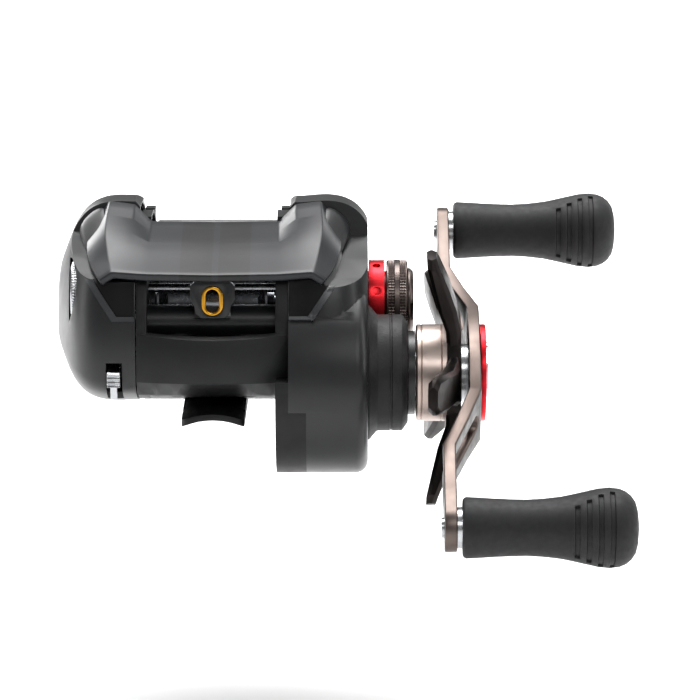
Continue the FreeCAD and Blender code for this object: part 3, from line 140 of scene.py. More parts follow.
@dataclass(frozen=True)
class Finish:
    """One real surface finish, as a procedural material.

    Args:
        name: what the finish is called.
        colour: sRGB colour of most of the surface.
        shade: sRGB colour that it drifts to in soft clouds.
        metallic: 1 for bare or anodised metal, 0 for plastic and rubber.
        roughness: how matt the surface is.
        ior: index of refraction of a plastic or lacquer.
        grain: size of the fine relief in millimetres.
        relief: height of the fine relief in millimetres.
        drift: size of the colour clouds in millimetres.
        gloss_change: how much the roughness varies over the surface.
        coat: weight of a clear lacquer over the finish.
        coat_roughness: how matt that lacquer is.
        pattern: how the fine relief is laid out.
        axis: (Y, Z) of the turning axis in millimetres, for a turned finish.
    """

    name: str
    colour: str
    shade: str
    metallic: float = 0.0
    roughness: float = 0.4
    ior: float = 1.5
    grain: float = 0.25
    relief: float = 0.004
    drift: float = 9.0
    gloss_change: float = 0.06
    coat: float = 0.0
    coat_roughness: float = 0.15
    pattern: Pattern = Pattern.GRAIN
    axis: tuple[float, float] = (0.0, 0.0)

    def material(self) -> bpy.types.Material:
        """Builds the finish once and then hands out the same material.

        Returns:
            The material.
        """
        made = bpy.data.materials.get(self.name)
        if made is not None:
            return made
        made = bpy.data.materials.new(self.name)
        made.use_nodes = True
        tree = made.node_tree
        tree.nodes.clear()
        coordinates = add_node(tree, "ShaderNodeTexCoord").outputs["Object"]
        colour = self.paint(tree, coordinates)
        clouds = self.noise(tree, coordinates, self.drift * 0.35)
        rough = add_node(tree, "ShaderNodeMapRange", inputs={
            "Value": clouds, "From Min": 0.3, "From Max": 0.7,
            "To Min": max(0.02, self.roughness - self.gloss_change),
            "To Max": min(1.0, self.roughness + self.gloss_change)})
        bump = add_node(tree, "ShaderNodeBump", inputs={
            "Height": self.height(tree, coordinates), "Distance": self.relief * MM, "Strength": 1.0})
        shader = add_node(tree, "ShaderNodeBsdfPrincipled", inputs={
            "Base Color": colour, "Metallic": self.metallic, "Roughness": rough.outputs["Result"],
            "Normal": bump.outputs["Normal"], "IOR": self.ior,
            "Coat Weight": self.coat, "Coat Roughness": self.coat_roughness})
        add_node(tree, "ShaderNodeOutputMaterial", inputs={"Surface": shader.outputs["BSDF"]})
        return made

    def noise(self, tree: bpy.types.NodeTree, coordinates: bpy.types.NodeSocket,
              size: float, detail: float = 2.0) -> bpy.types.NodeSocket:
        """Adds soft noise of a real size.

        Args:
            tree: node tree of the material.
            coordinates: where on the piece a point lies.
            size: size of one blotch in millimetres.
            detail: octaves of finer noise.

        Returns:
            The noise value's socket.
        """
        node = add_node(tree, "ShaderNodeTexNoise",
                        inputs={"Vector": coordinates, "Scale": 1.0 / (size * MM), "Detail": detail})
        return node.outputs["Fac"]

    def paint(self, tree: bpy.types.NodeTree, coordinates: bpy.types.NodeSocket) -> bpy.types.NodeSocket:
        """Adds the colour, which drifts between the finish's two tones.

        Args:
            tree: node tree of the material.
            coordinates: where on the piece a point lies.

        Returns:
            The colour's socket.
        """
        clouds = self.noise(tree, coordinates, self.drift)
        spread = add_node(tree, "ShaderNodeMapRange",
                          inputs={"Value": clouds, "From Min": 0.35, "From Max": 0.65})
        mix = add_node(tree, "ShaderNodeMix", {"data_type": "RGBA"}, {
            0: spread.outputs["Result"], 6: linear(self.colour), 7: linear(self.shade)})
        return mix.outputs[2]

    def height(self, tree: bpy.types.NodeTree, coordinates: bpy.types.NodeSocket) -> bpy.types.NodeSocket:
        """Adds the fine relief.

        Args:
            tree: node tree of the material.
            coordinates: where on the piece a point lies.

        Returns:
            The height's socket.
        """
        if self.pattern is Pattern.TURNED:
            return self.turned_rings(tree, coordinates)
        if self.pattern is Pattern.BRUSHED:
            stretched = add_node(tree, "ShaderNodeMapping", inputs={
                "Vector": coordinates, "Scale": (0.04, 1.0, 1.0)})
            return self.noise(tree, stretched.outputs["Vector"], self.grain, 3.0)
        if self.pattern is Pattern.WOVEN:
            weave = add_node(tree, "ShaderNodeTexChecker", inputs={
                "Vector": coordinates, "Scale": 1.0 / (self.grain * MM)})
            return weave.outputs["Fac"]
        if self.pattern is Pattern.PEBBLE:
            pebbles = add_node(tree, "ShaderNodeTexVoronoi", {"feature": "SMOOTH_F1"}, {
                "Vector": coordinates, "Scale": 1.0 / (self.grain * MM), "Smoothness": 0.6})
            return pebbles.outputs["Distance"]
        return self.noise(tree, coordinates, self.grain, 3.0)

    def turned_rings(self, tree: bpy.types.NodeTree,
                     coordinates: bpy.types.NodeSocket) -> bpy.types.NodeSocket:
        """Adds the fine rings that a lathe leaves on faces and round sides.

        Args:
            tree: node tree of the material.
            coordinates: where on the piece a point lies.

        Returns:
            The height's socket.
        """
        centred = add_node(tree, "ShaderNodeMapping", inputs={
            "Vector": coordinates, "Location": (0.0, -self.axis[0] * MM, -self.axis[1] * MM)})
        parts = add_node(tree, "ShaderNodeSeparateXYZ", inputs={"Vector": centred.outputs["Vector"]})
        flat = add_node(tree, "ShaderNodeCombineXYZ", inputs={
            "Y": parts.outputs["Y"], "Z": parts.outputs["Z"]})
        radius = add_node(tree, "ShaderNodeVectorMath", {"operation": "LENGTH"}, {0: flat.outputs["Vector"]})
        place = add_node(tree, "ShaderNodeCombineXYZ", inputs={
            "X": radius.outputs["Value"], "Y": parts.outputs["X"]})
        return self.noise(tree, place.outputs["Vector"], self.grain, 3.0)


@dataclass(frozen=True)
class BandedPaint(Finish):
    """Satin paint with two plain, slightly darker bands along the hood.

    Args:
        bands: (start, end) of each band along X in millimetres.
        band_colour: sRGB colour of the bands.
    """

    bands: tuple[tuple[float, float], ...] = ()
    band_colour: str = "202225"

    def paint(self, tree: bpy.types.NodeTree, coordinates: bpy.types.NodeSocket) -> bpy.types.NodeSocket:
        """Lays the bands over the plain paint.

        Args:
            tree: node tree of the material.
            coordinates: where on the piece a point lies.

        Returns:
            The colour's socket.
        """
        colour = super().paint(tree, coordinates)
        along = add_node(tree, "ShaderNodeSeparateXYZ", inputs={"Vector": coordinates}).outputs["X"]
        for start, end in self.bands:
            middle, half = (start + end) / 2.0 * MM, (end - start) / 2.0 * MM
            away = add_node(tree, "ShaderNodeMath", {"operation": "SUBTRACT"}, {0: along, 1: middle})
            distance = add_node(tree, "ShaderNodeMath", {"operation": "ABSOLUTE"}, {0: away.outputs[0]})
            inside = add_node(tree, "ShaderNodeMapRange", inputs={
                "Value": distance.outputs[0], "From Min": half - 0.05 * MM, "From Max": half + 0.05 * MM,
                "To Min": 1.0, "To Max": 0.0})
            mix = add_node(tree, "ShaderNodeMix", {"data_type": "RGBA"}, {
                0: inside.outputs["Result"], 6: colour, 7: linear(self.band_colour)})
            colour = mix.outputs[2]
        return colour


# (Y, Z) of the handle's and the spool's axes
DRIVE_AXIS = (-16.241, 7.2)
SPOOL_AXIS = (0.0, 19.0)

# Satin lacquer over light castings: dark graphite with a soft, wide sheen and hardly any grain
SATIN_PAINT = Finish(
    "satin_graphite_paint", "141517", "17181a", ior=1.45, grain=0.3, relief=0.0015, drift=14.0,
    gloss_change=0.04, coat=0.18, coat_roughness=0.3)
# The same lacquer on the hood, with two plain darker bands
HOOD_PAINT = BandedPaint(
    "banded_graphite_paint", "1a1c20", "1d1f23", roughness=0.38, ior=1.3, grain=0.3, relief=0.0015,
    drift=14.0, gloss_change=0.04, coat=0.35, coat_roughness=0.3, bands=((-6.3, -0.1), (1.1, 7.2)),
    band_colour="0c0c0e")
# The same lacquer, duller, on the flat nose panel
PANEL_PAINT = Finish(
    "dull_graphite_paint", "0f1011", "121314", roughness=0.5, ior=1.4, grain=0.3, relief=0.0015,
    drift=14.0, gloss_change=0.04)
# Painted highlight: the satin graphite lacquer made lighter on the slanted rims beside the window, standing
# for light caught by their bevel
RIM_PAINTED_HIGHLIGHT = Finish(
    "rim_painted_highlight", "2a2c2f", "2e3033", roughness=0.34, grain=0.3, relief=0.0015, drift=14.0,
    gloss_change=0.04, coat=0.4, coat_roughness=0.25)
# Painted shade: flat black on the thin plates at both ends of the window, a dark sheet standing for the
# hollow that lies in shadow under the hood's lip
RECESS_PAINTED_SHADE = Finish(
    "painted_recess_shade", "040405", "060607", roughness=0.6, ior=1.3, grain=0.3, relief=0.002, drift=8.0,
    gloss_change=0.03)
# Matt black casting paint of the frame and foot
FRAME_PAINT = Finish(
    "matt_black_paint", "0b0b0c", "0e0e10", roughness=0.5, ior=1.4, grain=0.35, relief=0.003,
    drift=10.0, gloss_change=0.05)
# Glass-filled nylon, moulded in a spark-eroded tool: fine even pebbles, dull
TEXTURED_NYLON = Finish(
    "textured_nylon", "121214", "161618", roughness=0.55, ior=1.45, grain=0.42, relief=0.02, drift=6.0,
    gloss_change=0.05, pattern=Pattern.PEBBLE)
# Moulded acetal of levers and carriage: smooth, slightly shiny
BLACK_ACETAL = Finish(
    "black_acetal", "151618", "1a1b1d", roughness=0.33, ior=1.48, grain=0.4, relief=0.002, drift=5.0,
    gloss_change=0.05)
# Red anodised aluminium: saturated dye over turned metal
RED_ANODISED = Finish(
    "red_anodised_aluminium", "e63038", "d8242c", metallic=1.0, roughness=0.34, grain=0.12,
    relief=0.002, drift=5.0, gloss_change=0.05, pattern=Pattern.TURNED, axis=SPOOL_AXIS)
# Satin champagne anodising on the star's hub
CHAMPAGNE = Finish(
    "champagne_anodised_aluminium", "c2b2aa", "b8a8a0", metallic=1.0, roughness=0.33, grain=0.18,
    relief=0.0015, drift=8.0, gloss_change=0.05)
# Darker champagne anodising on the handle plate's edges
HANDLE_ANODISE = Finish(
    "dark_champagne_anodised", "6b605b", "625752", metallic=1.0, roughness=0.36, grain=0.18,
    relief=0.0015, drift=8.0, gloss_change=0.05)
# Near-black anodising on the star's arms and the handle's broad faces
STAR_ANODISE = Finish(
    "dark_gunmetal_anodised", "2a2625", "242120", metallic=1.0, roughness=0.36, grain=0.15,
    relief=0.0015, drift=6.0)
# Titanium-grey anodising on the tension knob and its cap
GUNMETAL = Finish(
    "gunmetal_anodised_aluminium", "6a605c", "5c5350", metallic=1.0, roughness=0.32, grain=0.15,
    relief=0.0015, drift=6.0)
# Polished and plated steel of nuts, screws and collars
BRIGHT_STEEL = Finish(
    "plated_steel", "c9cacc", "bdbfc2", metallic=1.0, roughness=0.22, grain=0.12, relief=0.001,
    drift=4.0, gloss_change=0.05)
# Ground bearing and shaft steel
GROUND_STEEL = Finish(
    "ground_steel", "a9abae", "9fa1a5", metallic=1.0, roughness=0.28, grain=0.1, relief=0.0015,
    drift=4.0, pattern=Pattern.BRUSHED)
# Forged and turned spool aluminium
SPOOL_ALUMINIUM = Finish(
    "turned_spool_aluminium", "a7aaae", "9b9ea3", metallic=1.0, roughness=0.27, grain=0.1, relief=0.002,
    drift=5.0, gloss_change=0.05, pattern=Pattern.TURNED, axis=SPOOL_AXIS)
# Titanium nitride on the hard line ring
GOLD_NITRIDE = Finish(
    "gold_titanium_nitride", "d9a23a", "cf952c", metallic=1.0, roughness=0.16, grain=0.1, relief=0.0008,
    drift=2.0, gloss_change=0.03)
# Cut brass gears and pinion
BRASS = Finish(
    "cut_brass", "c2a15a", "b5934c", metallic=1.0, roughness=0.3, grain=0.12, relief=0.002, drift=4.0,
    gloss_change=0.07)
# Woven carbon drag washers
CARBON = Finish(
    "woven_carbon", "1b1c1e", "26272a", roughness=0.5, grain=0.5, relief=0.01, drift=3.0,
    pattern=Pattern.WOVEN)
# Foamed rubber-like grips: matt, with a fine speckle
GRIP_RUBBER = Finish(
    "matt_grip_rubber", "131315", "171719", roughness=0.62, ior=1.45, grain=0.16, relief=0.008,
    drift=3.0, gloss_change=0.05)


# ---------------------------------------------------------------- bench tools
class Bench:
    """Modelling steps that several sub-assemblies share. Points and sizes are millimetres."""

    @staticmethod
    def dress(piece: bpy.types.Object, finish: Finish) -> None:
        """Gives the whole piece one finish."""
        piece.data.materials.clear()
        piece.data.materials.append(finish.material())

    @staticmethod
    def only(piece: bpy.types.Object) -> None:
        """Selects the piece alone and makes it active.

        Args:
            piece: the piece.
        """
        bpy.ops.object.select_all(action="DESELECT")
        piece.select_set(True)
        bpy.context.view_layer.objects.active = piece

    @staticmethod
    def pick(piece: bpy.types.Object, wanted: Callable[[Vector, Vector], bool]) -> None:
        """Selects the faces of a piece in edit mode by their middle and normal.

        Args:
            piece: piece in edit mode.
            wanted: takes a face's middle in millimetres and its normal, and says whether to take it.
        """
        bpy.ops.mesh.select_mode(type="FACE")
        bpy.ops.mesh.select_all(action="DESELECT")
        shape = bmesh.from_edit_mesh(piece.data)
        chosen = [f for f in shape.faces if wanted(f.calc_center_median() / MM, f.normal)]
        for face in chosen:
            face.select_set(True)
        bmesh.update_edit_mesh(piece.data)

    @staticmethod
    def lathe(name: str, profile: Profile, axis: tuple[float, float], steps: int = 96) -> bpy.types.Object:
        """Turns a round piece about an X axis: a ring of edges, extruded and sized from point to point.

        Args:
            name: name of the piece.
            profile: (x, radius) points from the first ring to the last.
            axis: (y, z) of the axis.
            steps: sides of the ring.

        Returns:
            The piece, in object mode.
        """
        start, radius = profile[0]
        place = Vector((start, axis[0], axis[1])) * MM
        bpy.ops.object.select_all(action="DESELECT")
        bpy.ops.mesh.primitive_circle_add(vertices=steps, radius=radius * MM, fill_type="NOTHING",
                                          location=place, rotation=(0.0, math.pi / 2.0, 0.0))
        piece = bpy.context.object
        piece.name = name
        bpy.ops.object.transform_apply(location=True, rotation=True, scale=True)
        bpy.ops.object.mode_set(mode="EDIT")
        bpy.ops.mesh.select_all(action="SELECT")
        for (x0, r0), (x1, r1) in zip(profile, profile[1:]):
            bpy.ops.mesh.extrude_edges_move(TRANSFORM_OT_translate={"value": ((x1 - x0) * MM, 0.0, 0.0)})
            bpy.ops.transform.resize(value=(1.0, r1 / r0, r1 / r0),
                                     center_override=(x1 * MM, axis[0] * MM, axis[1] * MM))
        Bench.close_shell()
        bpy.ops.object.mode_set(mode="OBJECT")
        return piece

    @staticmethod
    def close_shell() -> None:
        """Merges doubles and points all faces outwards, in edit mode."""
        bpy.ops.mesh.select_all(action="SELECT")
        bpy.ops.mesh.remove_doubles(threshold=WELD * MM)
        bpy.ops.mesh.normals_make_consistent(inside=False)

    @staticmethod
    def loft(name: str, sections: list[list[Point]], closed: bool) -> bpy.types.Object:
        """Lofts a skin: one line of edges, extruded from section to section and moved into place.

        Args:
            name: name of the piece.
            sections: rows of points, each row with the same number.
            closed: whether each row is a loop, and the ends are faces.

        Returns:
            The piece, in object mode.
        """
        row = [Vector(point) * MM for point in sections[0]]
        bpy.ops.object.select_all(action="DESELECT")
        bpy.ops.mesh.primitive_plane_add(size=MM, location=row[0])
        piece = bpy.context.object
        piece.name = name
        bpy.ops.object.transform_apply(location=True, rotation=True, scale=True)
        bpy.ops.object.mode_set(mode="EDIT")
        bpy.ops.mesh.select_mode(type="VERT")
        bpy.ops.mesh.merge(type="CENTER")
        for start, end in zip(row, row[1:]):
            bpy.ops.mesh.extrude_vertices_move(TRANSFORM_OT_translate={"value": end - start})
        bpy.ops.mesh.select_all(action="SELECT")
        if closed:
            bpy.ops.mesh.edge_face_add()
        for section in sections[1:]:
            row = Bench.next_row(piece, row, [Vector(point) * MM for point in section], closed)
        Bench.close_shell()
        bpy.ops.object.mode_set(mode="OBJECT")
        return piece

    @staticmethod
    def next_row(piece: bpy.types.Object, old: list[Vector], new: list[Vector], closed: bool) -> list[Vector]:
        """Extrudes the selected row and moves each of its points to the next section.

        Args:
            piece: piece in edit mode, with the last row selected.
            old: points of the last row.
            new: points of the next row.
            closed: whether the row is a face rather than a line.

        Returns:
            The new row.
        """
        if closed:
            bpy.ops.mesh.extrude_region_move()
        else:
            bpy.ops.mesh.extrude_edges_move()
        shape = bmesh.from_edit_mesh(piece.data)
        shape.verts.ensure_lookup_table()
        fresh = [v.index for v in shape.verts if v.select]
        order = [min(fresh, key=lambda i: (shape.verts[i].co - point).length_squared) for point in old]
        for index, point in zip(order, new):
            bpy.ops.mesh.select_all(action="DESELECT")
            shape = bmesh.from_edit_mesh(piece.data)
            shape.verts.ensure_lookup_table()
            vertex = shape.verts[index]
            vertex.select_set(True)
            move = point - vertex.co
            shape.select_flush_mode()
            bpy.ops.transform.translate(value=move)
        shape = bmesh.from_edit_mesh(piece.data)
        shape.verts.ensure_lookup_table()
        for index in order:
            shape.verts[index].select_set(True)
        shape.select_flush(True)
        bmesh.update_edit_mesh(piece.data)
        return new

    @staticmethod
    def copy_of(node: bpy.types.Object, name: str) -> bpy.types.Object:
        """Copies a CAD node's shape as a new piece with merged points and whole flat faces.

        Args:
            node: the CAD node, which is left alone.
            name: name of the new piece.

        Returns:
            The piece, in object mode.
        """
        piece = bpy.data.objects.new(name, node.data.copy())
        bpy.context.scene.collection.objects.link(piece)
        Bench.only(piece)
        bpy.ops.object.mode_set(mode="EDIT")
        bpy.ops.mesh.select_mode(type="VERT")
        bpy.ops.mesh.select_all(action="SELECT")
        bpy.ops.mesh.remove_doubles(threshold=CAD_WELD * MM)
        bpy.ops.mesh.dissolve_limited(angle_limit=math.radians(CAD_FLAT))
        bpy.ops.object.mode_set(mode="OBJECT")
        return piece

    @staticmethod
    def modify(piece: bpy.types.Object, kind: str, **settings: object) -> None:
        """Adds one modifier with its settings and applies it.

        Args:
            piece: the piece.
            kind: Blender's identifier of the modifier type.
            settings: attributes of the modifier, by name.
        """
        Bench.only(piece)
        modifier = piece.modifiers.new(kind.lower(), kind)
        for key, value in settings.items():
            setattr(modifier, key, value)
        bpy.ops.object.modifier_apply(modifier=modifier.name)

    @staticmethod
    def soften(piece: bpy.types.Object, width: float, angle: float = SMOOTH_ANGLE, segments: int = 3) -> None:
        """Rounds the crisp edges of a piece and shades the rest smooth.

        Args:
            piece: the piece.
            width: width of the rounding.
            angle: edges sharper than this are rounded, in degrees.
            segments: faces across each rounding.
        """
        if width:
            Bench.modify(piece, "BEVEL", width=width * MM, segments=segments, limit_method="ANGLE",
                         angle_limit=math.radians(angle), use_clamp_overlap=True, miter_outer="MITER_ARC")
        Bench.only(piece)
        bpy.ops.object.shade_smooth_by_angle(angle=math.radians(SMOOTH_ANGLE))


# ---------------------------------------------------------------- sub-assemblies
@dataclass
class SubAssembly:
    """Base of every sub-assembly: it knows the frame, and it dresses and places pieces.
    """

    frame: dict

    def dress_nodes(self, finishes: dict[str, Finish]) -> None:
        """Gives CAD nodes their finishes.

        Args:
            finishes: finish by node name.
        """
        for node, finish in finishes.items():
            Bench.dress(self.frame["nodes"][node], finish)
            LOG.info("node %s in %s", node, finish.name)

    def place(self, piece: bpy.types.Object, node: str, finish: Finish, stands_for: bool = True) -> None:
        """Dresses a new piece and fixes it to the body of a CAD node, with its finish's material slot.

        Args:
            piece: the new piece.
            node: CAD node that it stands for or sits on.
            finish: its finish.
            stands_for: whether the CAD node is hidden behind it.
        """
        Bench.dress(piece, finish)
        bodies = self.frame["record"]["behaviour"]["bodies"]
        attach(piece, next(body for body, nodes in bodies.items() if node in nodes))
        if stands_for:
            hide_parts(node)
        LOG.info("piece %s on %s", piece.name, node)

    def rounded_copy(self, node: str, finish: Finish, width: float, angle: float) -> bpy.types.Object:
        """Stands a copy with rounded edges in for a CAD node.

        Args:
            node: the CAD node.
            finish: finish of the copy.
            width: width of the rounding in millimetres.
            angle: edges sharper than this are rounded, in degrees.

        Returns:
            The copy.
        """
        piece = Bench.copy_of(self.frame["nodes"][node], node + "_shell")
        Bench.soften(piece, width, angle)
        self.place(piece, node, finish)
        return piece

    def extent(self, node: str) -> tuple[float, float, float, tuple[float, float]]:
        """Measures a round CAD node that lies along X.

        Args:
            node: the CAD node.

        Returns:
            The x of both its ends, its radius and the (y, z) of its axis, in millimetres.
        """
        low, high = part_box(node)
        centre = ((low.y + high.y) / MM / 2.0, (low.z + high.z) / MM / 2.0)
        return low.x / MM, high.x / MM, (high.z - low.z) / MM / 2.0, centre

    def build(self) -> None:
        """Models and dresses the sub-assembly's pieces."""
        raise NotImplementedError


def blend_rows(rows: list[tuple[float, list[tuple[float, float]]]], steps: int) -> list[tuple[float, list]]:
    """Adds smooth rows between given ones, along a Catmull-Rom curve.

    Args:
        rows: (y, points) of each given row.
        steps: rows from one given row to the next.

    Returns:
        The given rows with the new ones between them.
    """
    flat = [[y] + [value for point in points for value in point] for y, points in rows]
    before = [2 * a - b for a, b in zip(flat[0], flat[1])]
    after = [2 * a - b for a, b in zip(flat[-1], flat[-2])]
    chain = [before] + flat + [after]
    made = []
    for a, b, c, d in zip(chain, chain[1:], chain[2:], chain[3:]):
        for step in range(steps):
            t = step / steps
            made.append([0.5 * (2 * q + (r - p) * t + (2 * p - 5 * q + 4 * r - s) * t * t
                                + (3 * q - p - 3 * r + s) * t * t * t) for p, q, r, s in zip(a, b, c, d)])
    made.append(flat[-1])
    return [(row[0], list(zip(row[1::2], row[2::2]))) for row in made]


@dataclass
class Hood(SubAssembly):
    """Front hood with its two plain bands, and the shoulders that join it to the side covers.

    Args:
        rows: y and (x, z above the spool axis) of the outer skin, from the middle out to the wing's tip.
        steps: rows from one given row to the next.
        skin: thickness of the skin.
        edge: rounding of its edges.
        crease: edges sharper than this are rounded, in degrees.
        bulge: (x, z above the spool axis) of a shoulder at its fullest.
        fade: y of each shoulder section, its share of the bulge and how far it has dropped.
        crown: (x, z above the spool axis) of the wing's crown, which the shoulder shrinks to.
        crown_lean: how far the crown moves sideways per millimetre of Y.
        tip: (x, z above the spool axis) of the wing's tip.
        wing: width of the wing from crown to tip.
    """

    rows: tuple = (
        (-30.2, ((0.0, 9.3), (12.5, 9.5), (16.0, 9.7), (19.3, 9.9), (21.8, 8.3))),
        (-25.0, ((0.0, 11.4), (12.5, 11.5), (16.0, 12.2), (20.2, 12.7), (23.6, 10.0))),
        (-18.0, ((0.0, 14.0), (12.5, 14.2), (16.0, 16.0), (21.1, 17.0), (24.9, 13.0))),
        (-8.0, ((0.0, 17.0), (12.5, 17.2), (15.8, 20.6), (20.8, 21.2), (24.8, 16.0))),
    )
    steps: int = 4
    skin: float = 1.55
    edge: float = 0.35
    crease: float = 24.0
    bulge: tuple = ((20.6, 20.9), (23.4, 20.3), (26.0, 18.2), (27.6, 15.2), (24.6, 15.0))
    fade: tuple = ((-8.05, 1.0, 0.0), (-10.5, 0.86, 0.7), (-13.5, 0.55, 2.0), (-16.5, 0.2, 3.3),
                   (-18.2, 0.02, 4.1))
    crown: tuple[float, float] = (20.6, 20.9)
    crown_lean: float = 0.02
    tip: tuple[float, float] = (24.7, 15.9)
    wing: float = 4.1

    def build(self) -> None:
        """Models the hood and its shoulders."""
        self.shell()
        for side in (-1.0, 1.0):
            self.shoulder(side)

    def shell(self) -> None:
        """Lofts the skin, thickens it and rounds its edges."""
        sections = []
        for y, half in blend_rows([(y, list(points)) for y, points in self.rows], self.steps):
            right = [(x, y, SPOOL_AXIS[1] + z) for x, z in half]
            left = [(-x, y, z) for x, y, z in reversed(right[1:])]
            sections.append(left + right)
        piece = Bench.loft("hood_shell", sections, closed=False)
        Bench.only(piece)
        bpy.ops.object.mode_set(mode="EDIT")
        faces = bmesh.from_edit_mesh(piece.data).faces
        if sum(f.normal.z * f.calc_area() for f in faces) < 0.0:
            bpy.ops.mesh.flip_normals()
        bpy.ops.object.mode_set(mode="OBJECT")
        Bench.modify(piece, "SOLIDIFY", thickness=self.skin * MM, offset=-1.0, use_even_offset=True)
        Bench.soften(piece, self.edge, self.crease)
        self.place(piece, "hood", HOOD_PAINT)

    def shoulder(self, side: float) -> None:
        """Lofts the fairing between the wing and the side cover's crown.

        Args:
            side: 1 for the gear side, -1 for the palm side.
        """
        sections = []
        for y, share, drop in self.fade:
            inner_x = self.crown[0] + self.crown_lean * (y + 8.0)
            row = []
            for x, z in self.bulge:
                along = min(max((x - self.crown[0]) / self.wing, 0.0), 1.0)
                base_x = inner_x + (self.tip[0] - inner_x) * along
                base_z = self.crown[1] + (self.tip[1] - self.crown[1]) * along
                height = SPOOL_AXIS[1] + base_z + (z - base_z) * share - drop
                row.append((side * (base_x + (x - base_x) * share), y, height))
            sections.append(row)
        name = "hood_shoulder_right" if side > 0.0 else "hood_shoulder_left"
        piece = Bench.loft(name, sections, closed=True)
        Bench.modify(piece, "SUBSURF", levels=2, render_levels=2)
        Bench.soften(piece, 0.0)
        self.place(piece, "hood", SATIN_PAINT, stands_for=False)


@dataclass
class Covers(SubAssembly):
    """Frame casting, the two side covers and the plates beside the window.

    Args:
        edge: rounding of the castings' edges.
        recess: (distance from the middle, z) of the corners of a window end's plate of painted shade, a flat
            black sheet where the hollow lies in shadow.
        recess_lift: how far that plate stands off the cover.
        rim: the same corners of the slanted rim below and beside it, a real raised strip whose lighter
            lacquer is a painted highlight.
        rim_lift: how far the rim stands off the cover.
        plate: thickness of both.
        start: y that the plates are laid on from.
        front: faces further forward than this y missed the cover.
        nose: (low, high) z of the nose panel.
        nose_front: y that the panel's faces lie in front of.
        nose_half: half width of the panel.
    """

    edge: float = 0.25
    recess: tuple = ((14.75, 27.2), (23.0, 27.2), (18.4, 20.4), (14.75, 20.4))
    recess_lift: float = 0.06
    rim: tuple = ((23.0, 27.2), (24.4, 27.2), (19.3, 19.5), (14.75, 19.5), (14.75, 20.4), (18.4, 20.4))
    rim_lift: float = 0.3
    plate: float = 0.5
    start: float = -45.0
    front: float = -31.5
    nose: tuple[float, float] = (6.0, 19.0)
    nose_front: float = -27.5
    nose_half: float = 14.7

    def build(self) -> None:
        """Rounds and dresses the casting and covers."""
        self.rounded_copy("gear_cover", SATIN_PAINT, self.edge, 40.0)
        self.rounded_copy("palm_cover", SATIN_PAINT, self.edge, 40.0)
        casting = self.rounded_copy("frame", FRAME_PAINT, self.edge, 30.0)
        self.paint_nose(casting)
        self.dress_nodes({"cover_screws": BRIGHT_STEEL, "brake_plate": BLACK_ACETAL})
        self.window_side("palm_cover", -1.0)
        self.window_side("gear_cover", 1.0)
        self.rounded_copy("thumb_bar", BLACK_ACETAL, 0.4, 24.0)

    def window_side(self, cover: str, side: float) -> None:
        """Lays a window end's plate of painted shade and its slanted rim, whose lighter lacquer is a painted
        highlight, on one cover.

        Args:
            cover: CAD node of the cover.
            side: 1 for the gear side, -1 for the palm side.
        """
        # the recess plate's flat black is painted shade standing for the shadowed hollow
        plates = (("recess", self.recess, self.recess_lift, RECESS_PAINTED_SHADE),
                  # the rim's lighter lacquer is a painted highlight on a real raised strip
                  ("rim", self.rim, self.rim_lift, RIM_PAINTED_HIGHLIGHT))
        for name, outline, lift, finish in plates:
            piece = self.inlay(f"{cover}_window_{name}", [(side * x, z) for x, z in outline], cover, lift)
            self.place(piece, cover, finish, stands_for=False)

    def inlay(self, name: str, outline: Profile, node: str, lift: float) -> bpy.types.Object:
        """Makes a thin plate of an outline that follows the front of a CAD node.

        Args:
            name: name of the piece.
            outline: (x, z) corners.
            node: CAD node that it lies on.
            lift: how far its face stands off the node.

        Returns:
            The piece, in object mode.
        """
        corners = [(x, self.start, z) for x, z in outline]
        piece = Bench.loft(name, [corners], closed=True)
        Bench.only(piece)
        bpy.ops.object.mode_set(mode="EDIT")
        bpy.ops.mesh.select_all(action="SELECT")
        bpy.ops.mesh.quads_convert_to_tris()
        bpy.ops.mesh.subdivide(number_cuts=12)
        bpy.ops.object.mode_set(mode="OBJECT")
        Bench.modify(piece, "SHRINKWRAP", target=self.frame["nodes"][node], wrap_method="PROJECT",
                     use_project_y=True, use_positive_direction=True, use_negative_direction=False,
                     offset=lift * MM)
        Bench.only(piece)
        bpy.ops.object.mode_set(mode="EDIT")
        Bench.pick(piece, lambda middle, normal: middle.y < self.front or abs(normal.y) < 0.5)
        bpy.ops.mesh.delete(type="FACE")
        bpy.ops.object.mode_set(mode="OBJECT")
        Bench.modify(piece, "SOLIDIFY", thickness=self.plate * MM, offset=0.0)
        Bench.soften(piece, 0.0)
        return piece

    def paint_nose(self, casting: bpy.types.Object) -> None:
        """Gives the front bar's panel its duller lacquer.

        Args:
            casting: the frame's copy.
        """
        casting.data.materials.append(PANEL_PAINT.material())
        for face in casting.data.polygons:
            middle = face.center / MM
            in_height = self.nose[0] < middle.z < self.nose[1]
            if middle.y < self.nose_front and in_height and abs(middle.x) < self.nose_half:
                face.material_index = 1


@dataclass
class LevelWind(SubAssembly):
    """Line guide with its hard ring, pawl and bars."""

    def build(self) -> None:
        """Rounds the carriage and the ring."""
        self.rounded_copy("line_guide", BLACK_ACETAL, 0.35, 30.0)
        self.rounded_copy("guide_ring", GOLD_NITRIDE, 0.28, 30.0)
        self.dress_nodes({"guard_tube": BLACK_ACETAL, "guide_bar": GROUND_STEEL, "pawl": GROUND_STEEL})


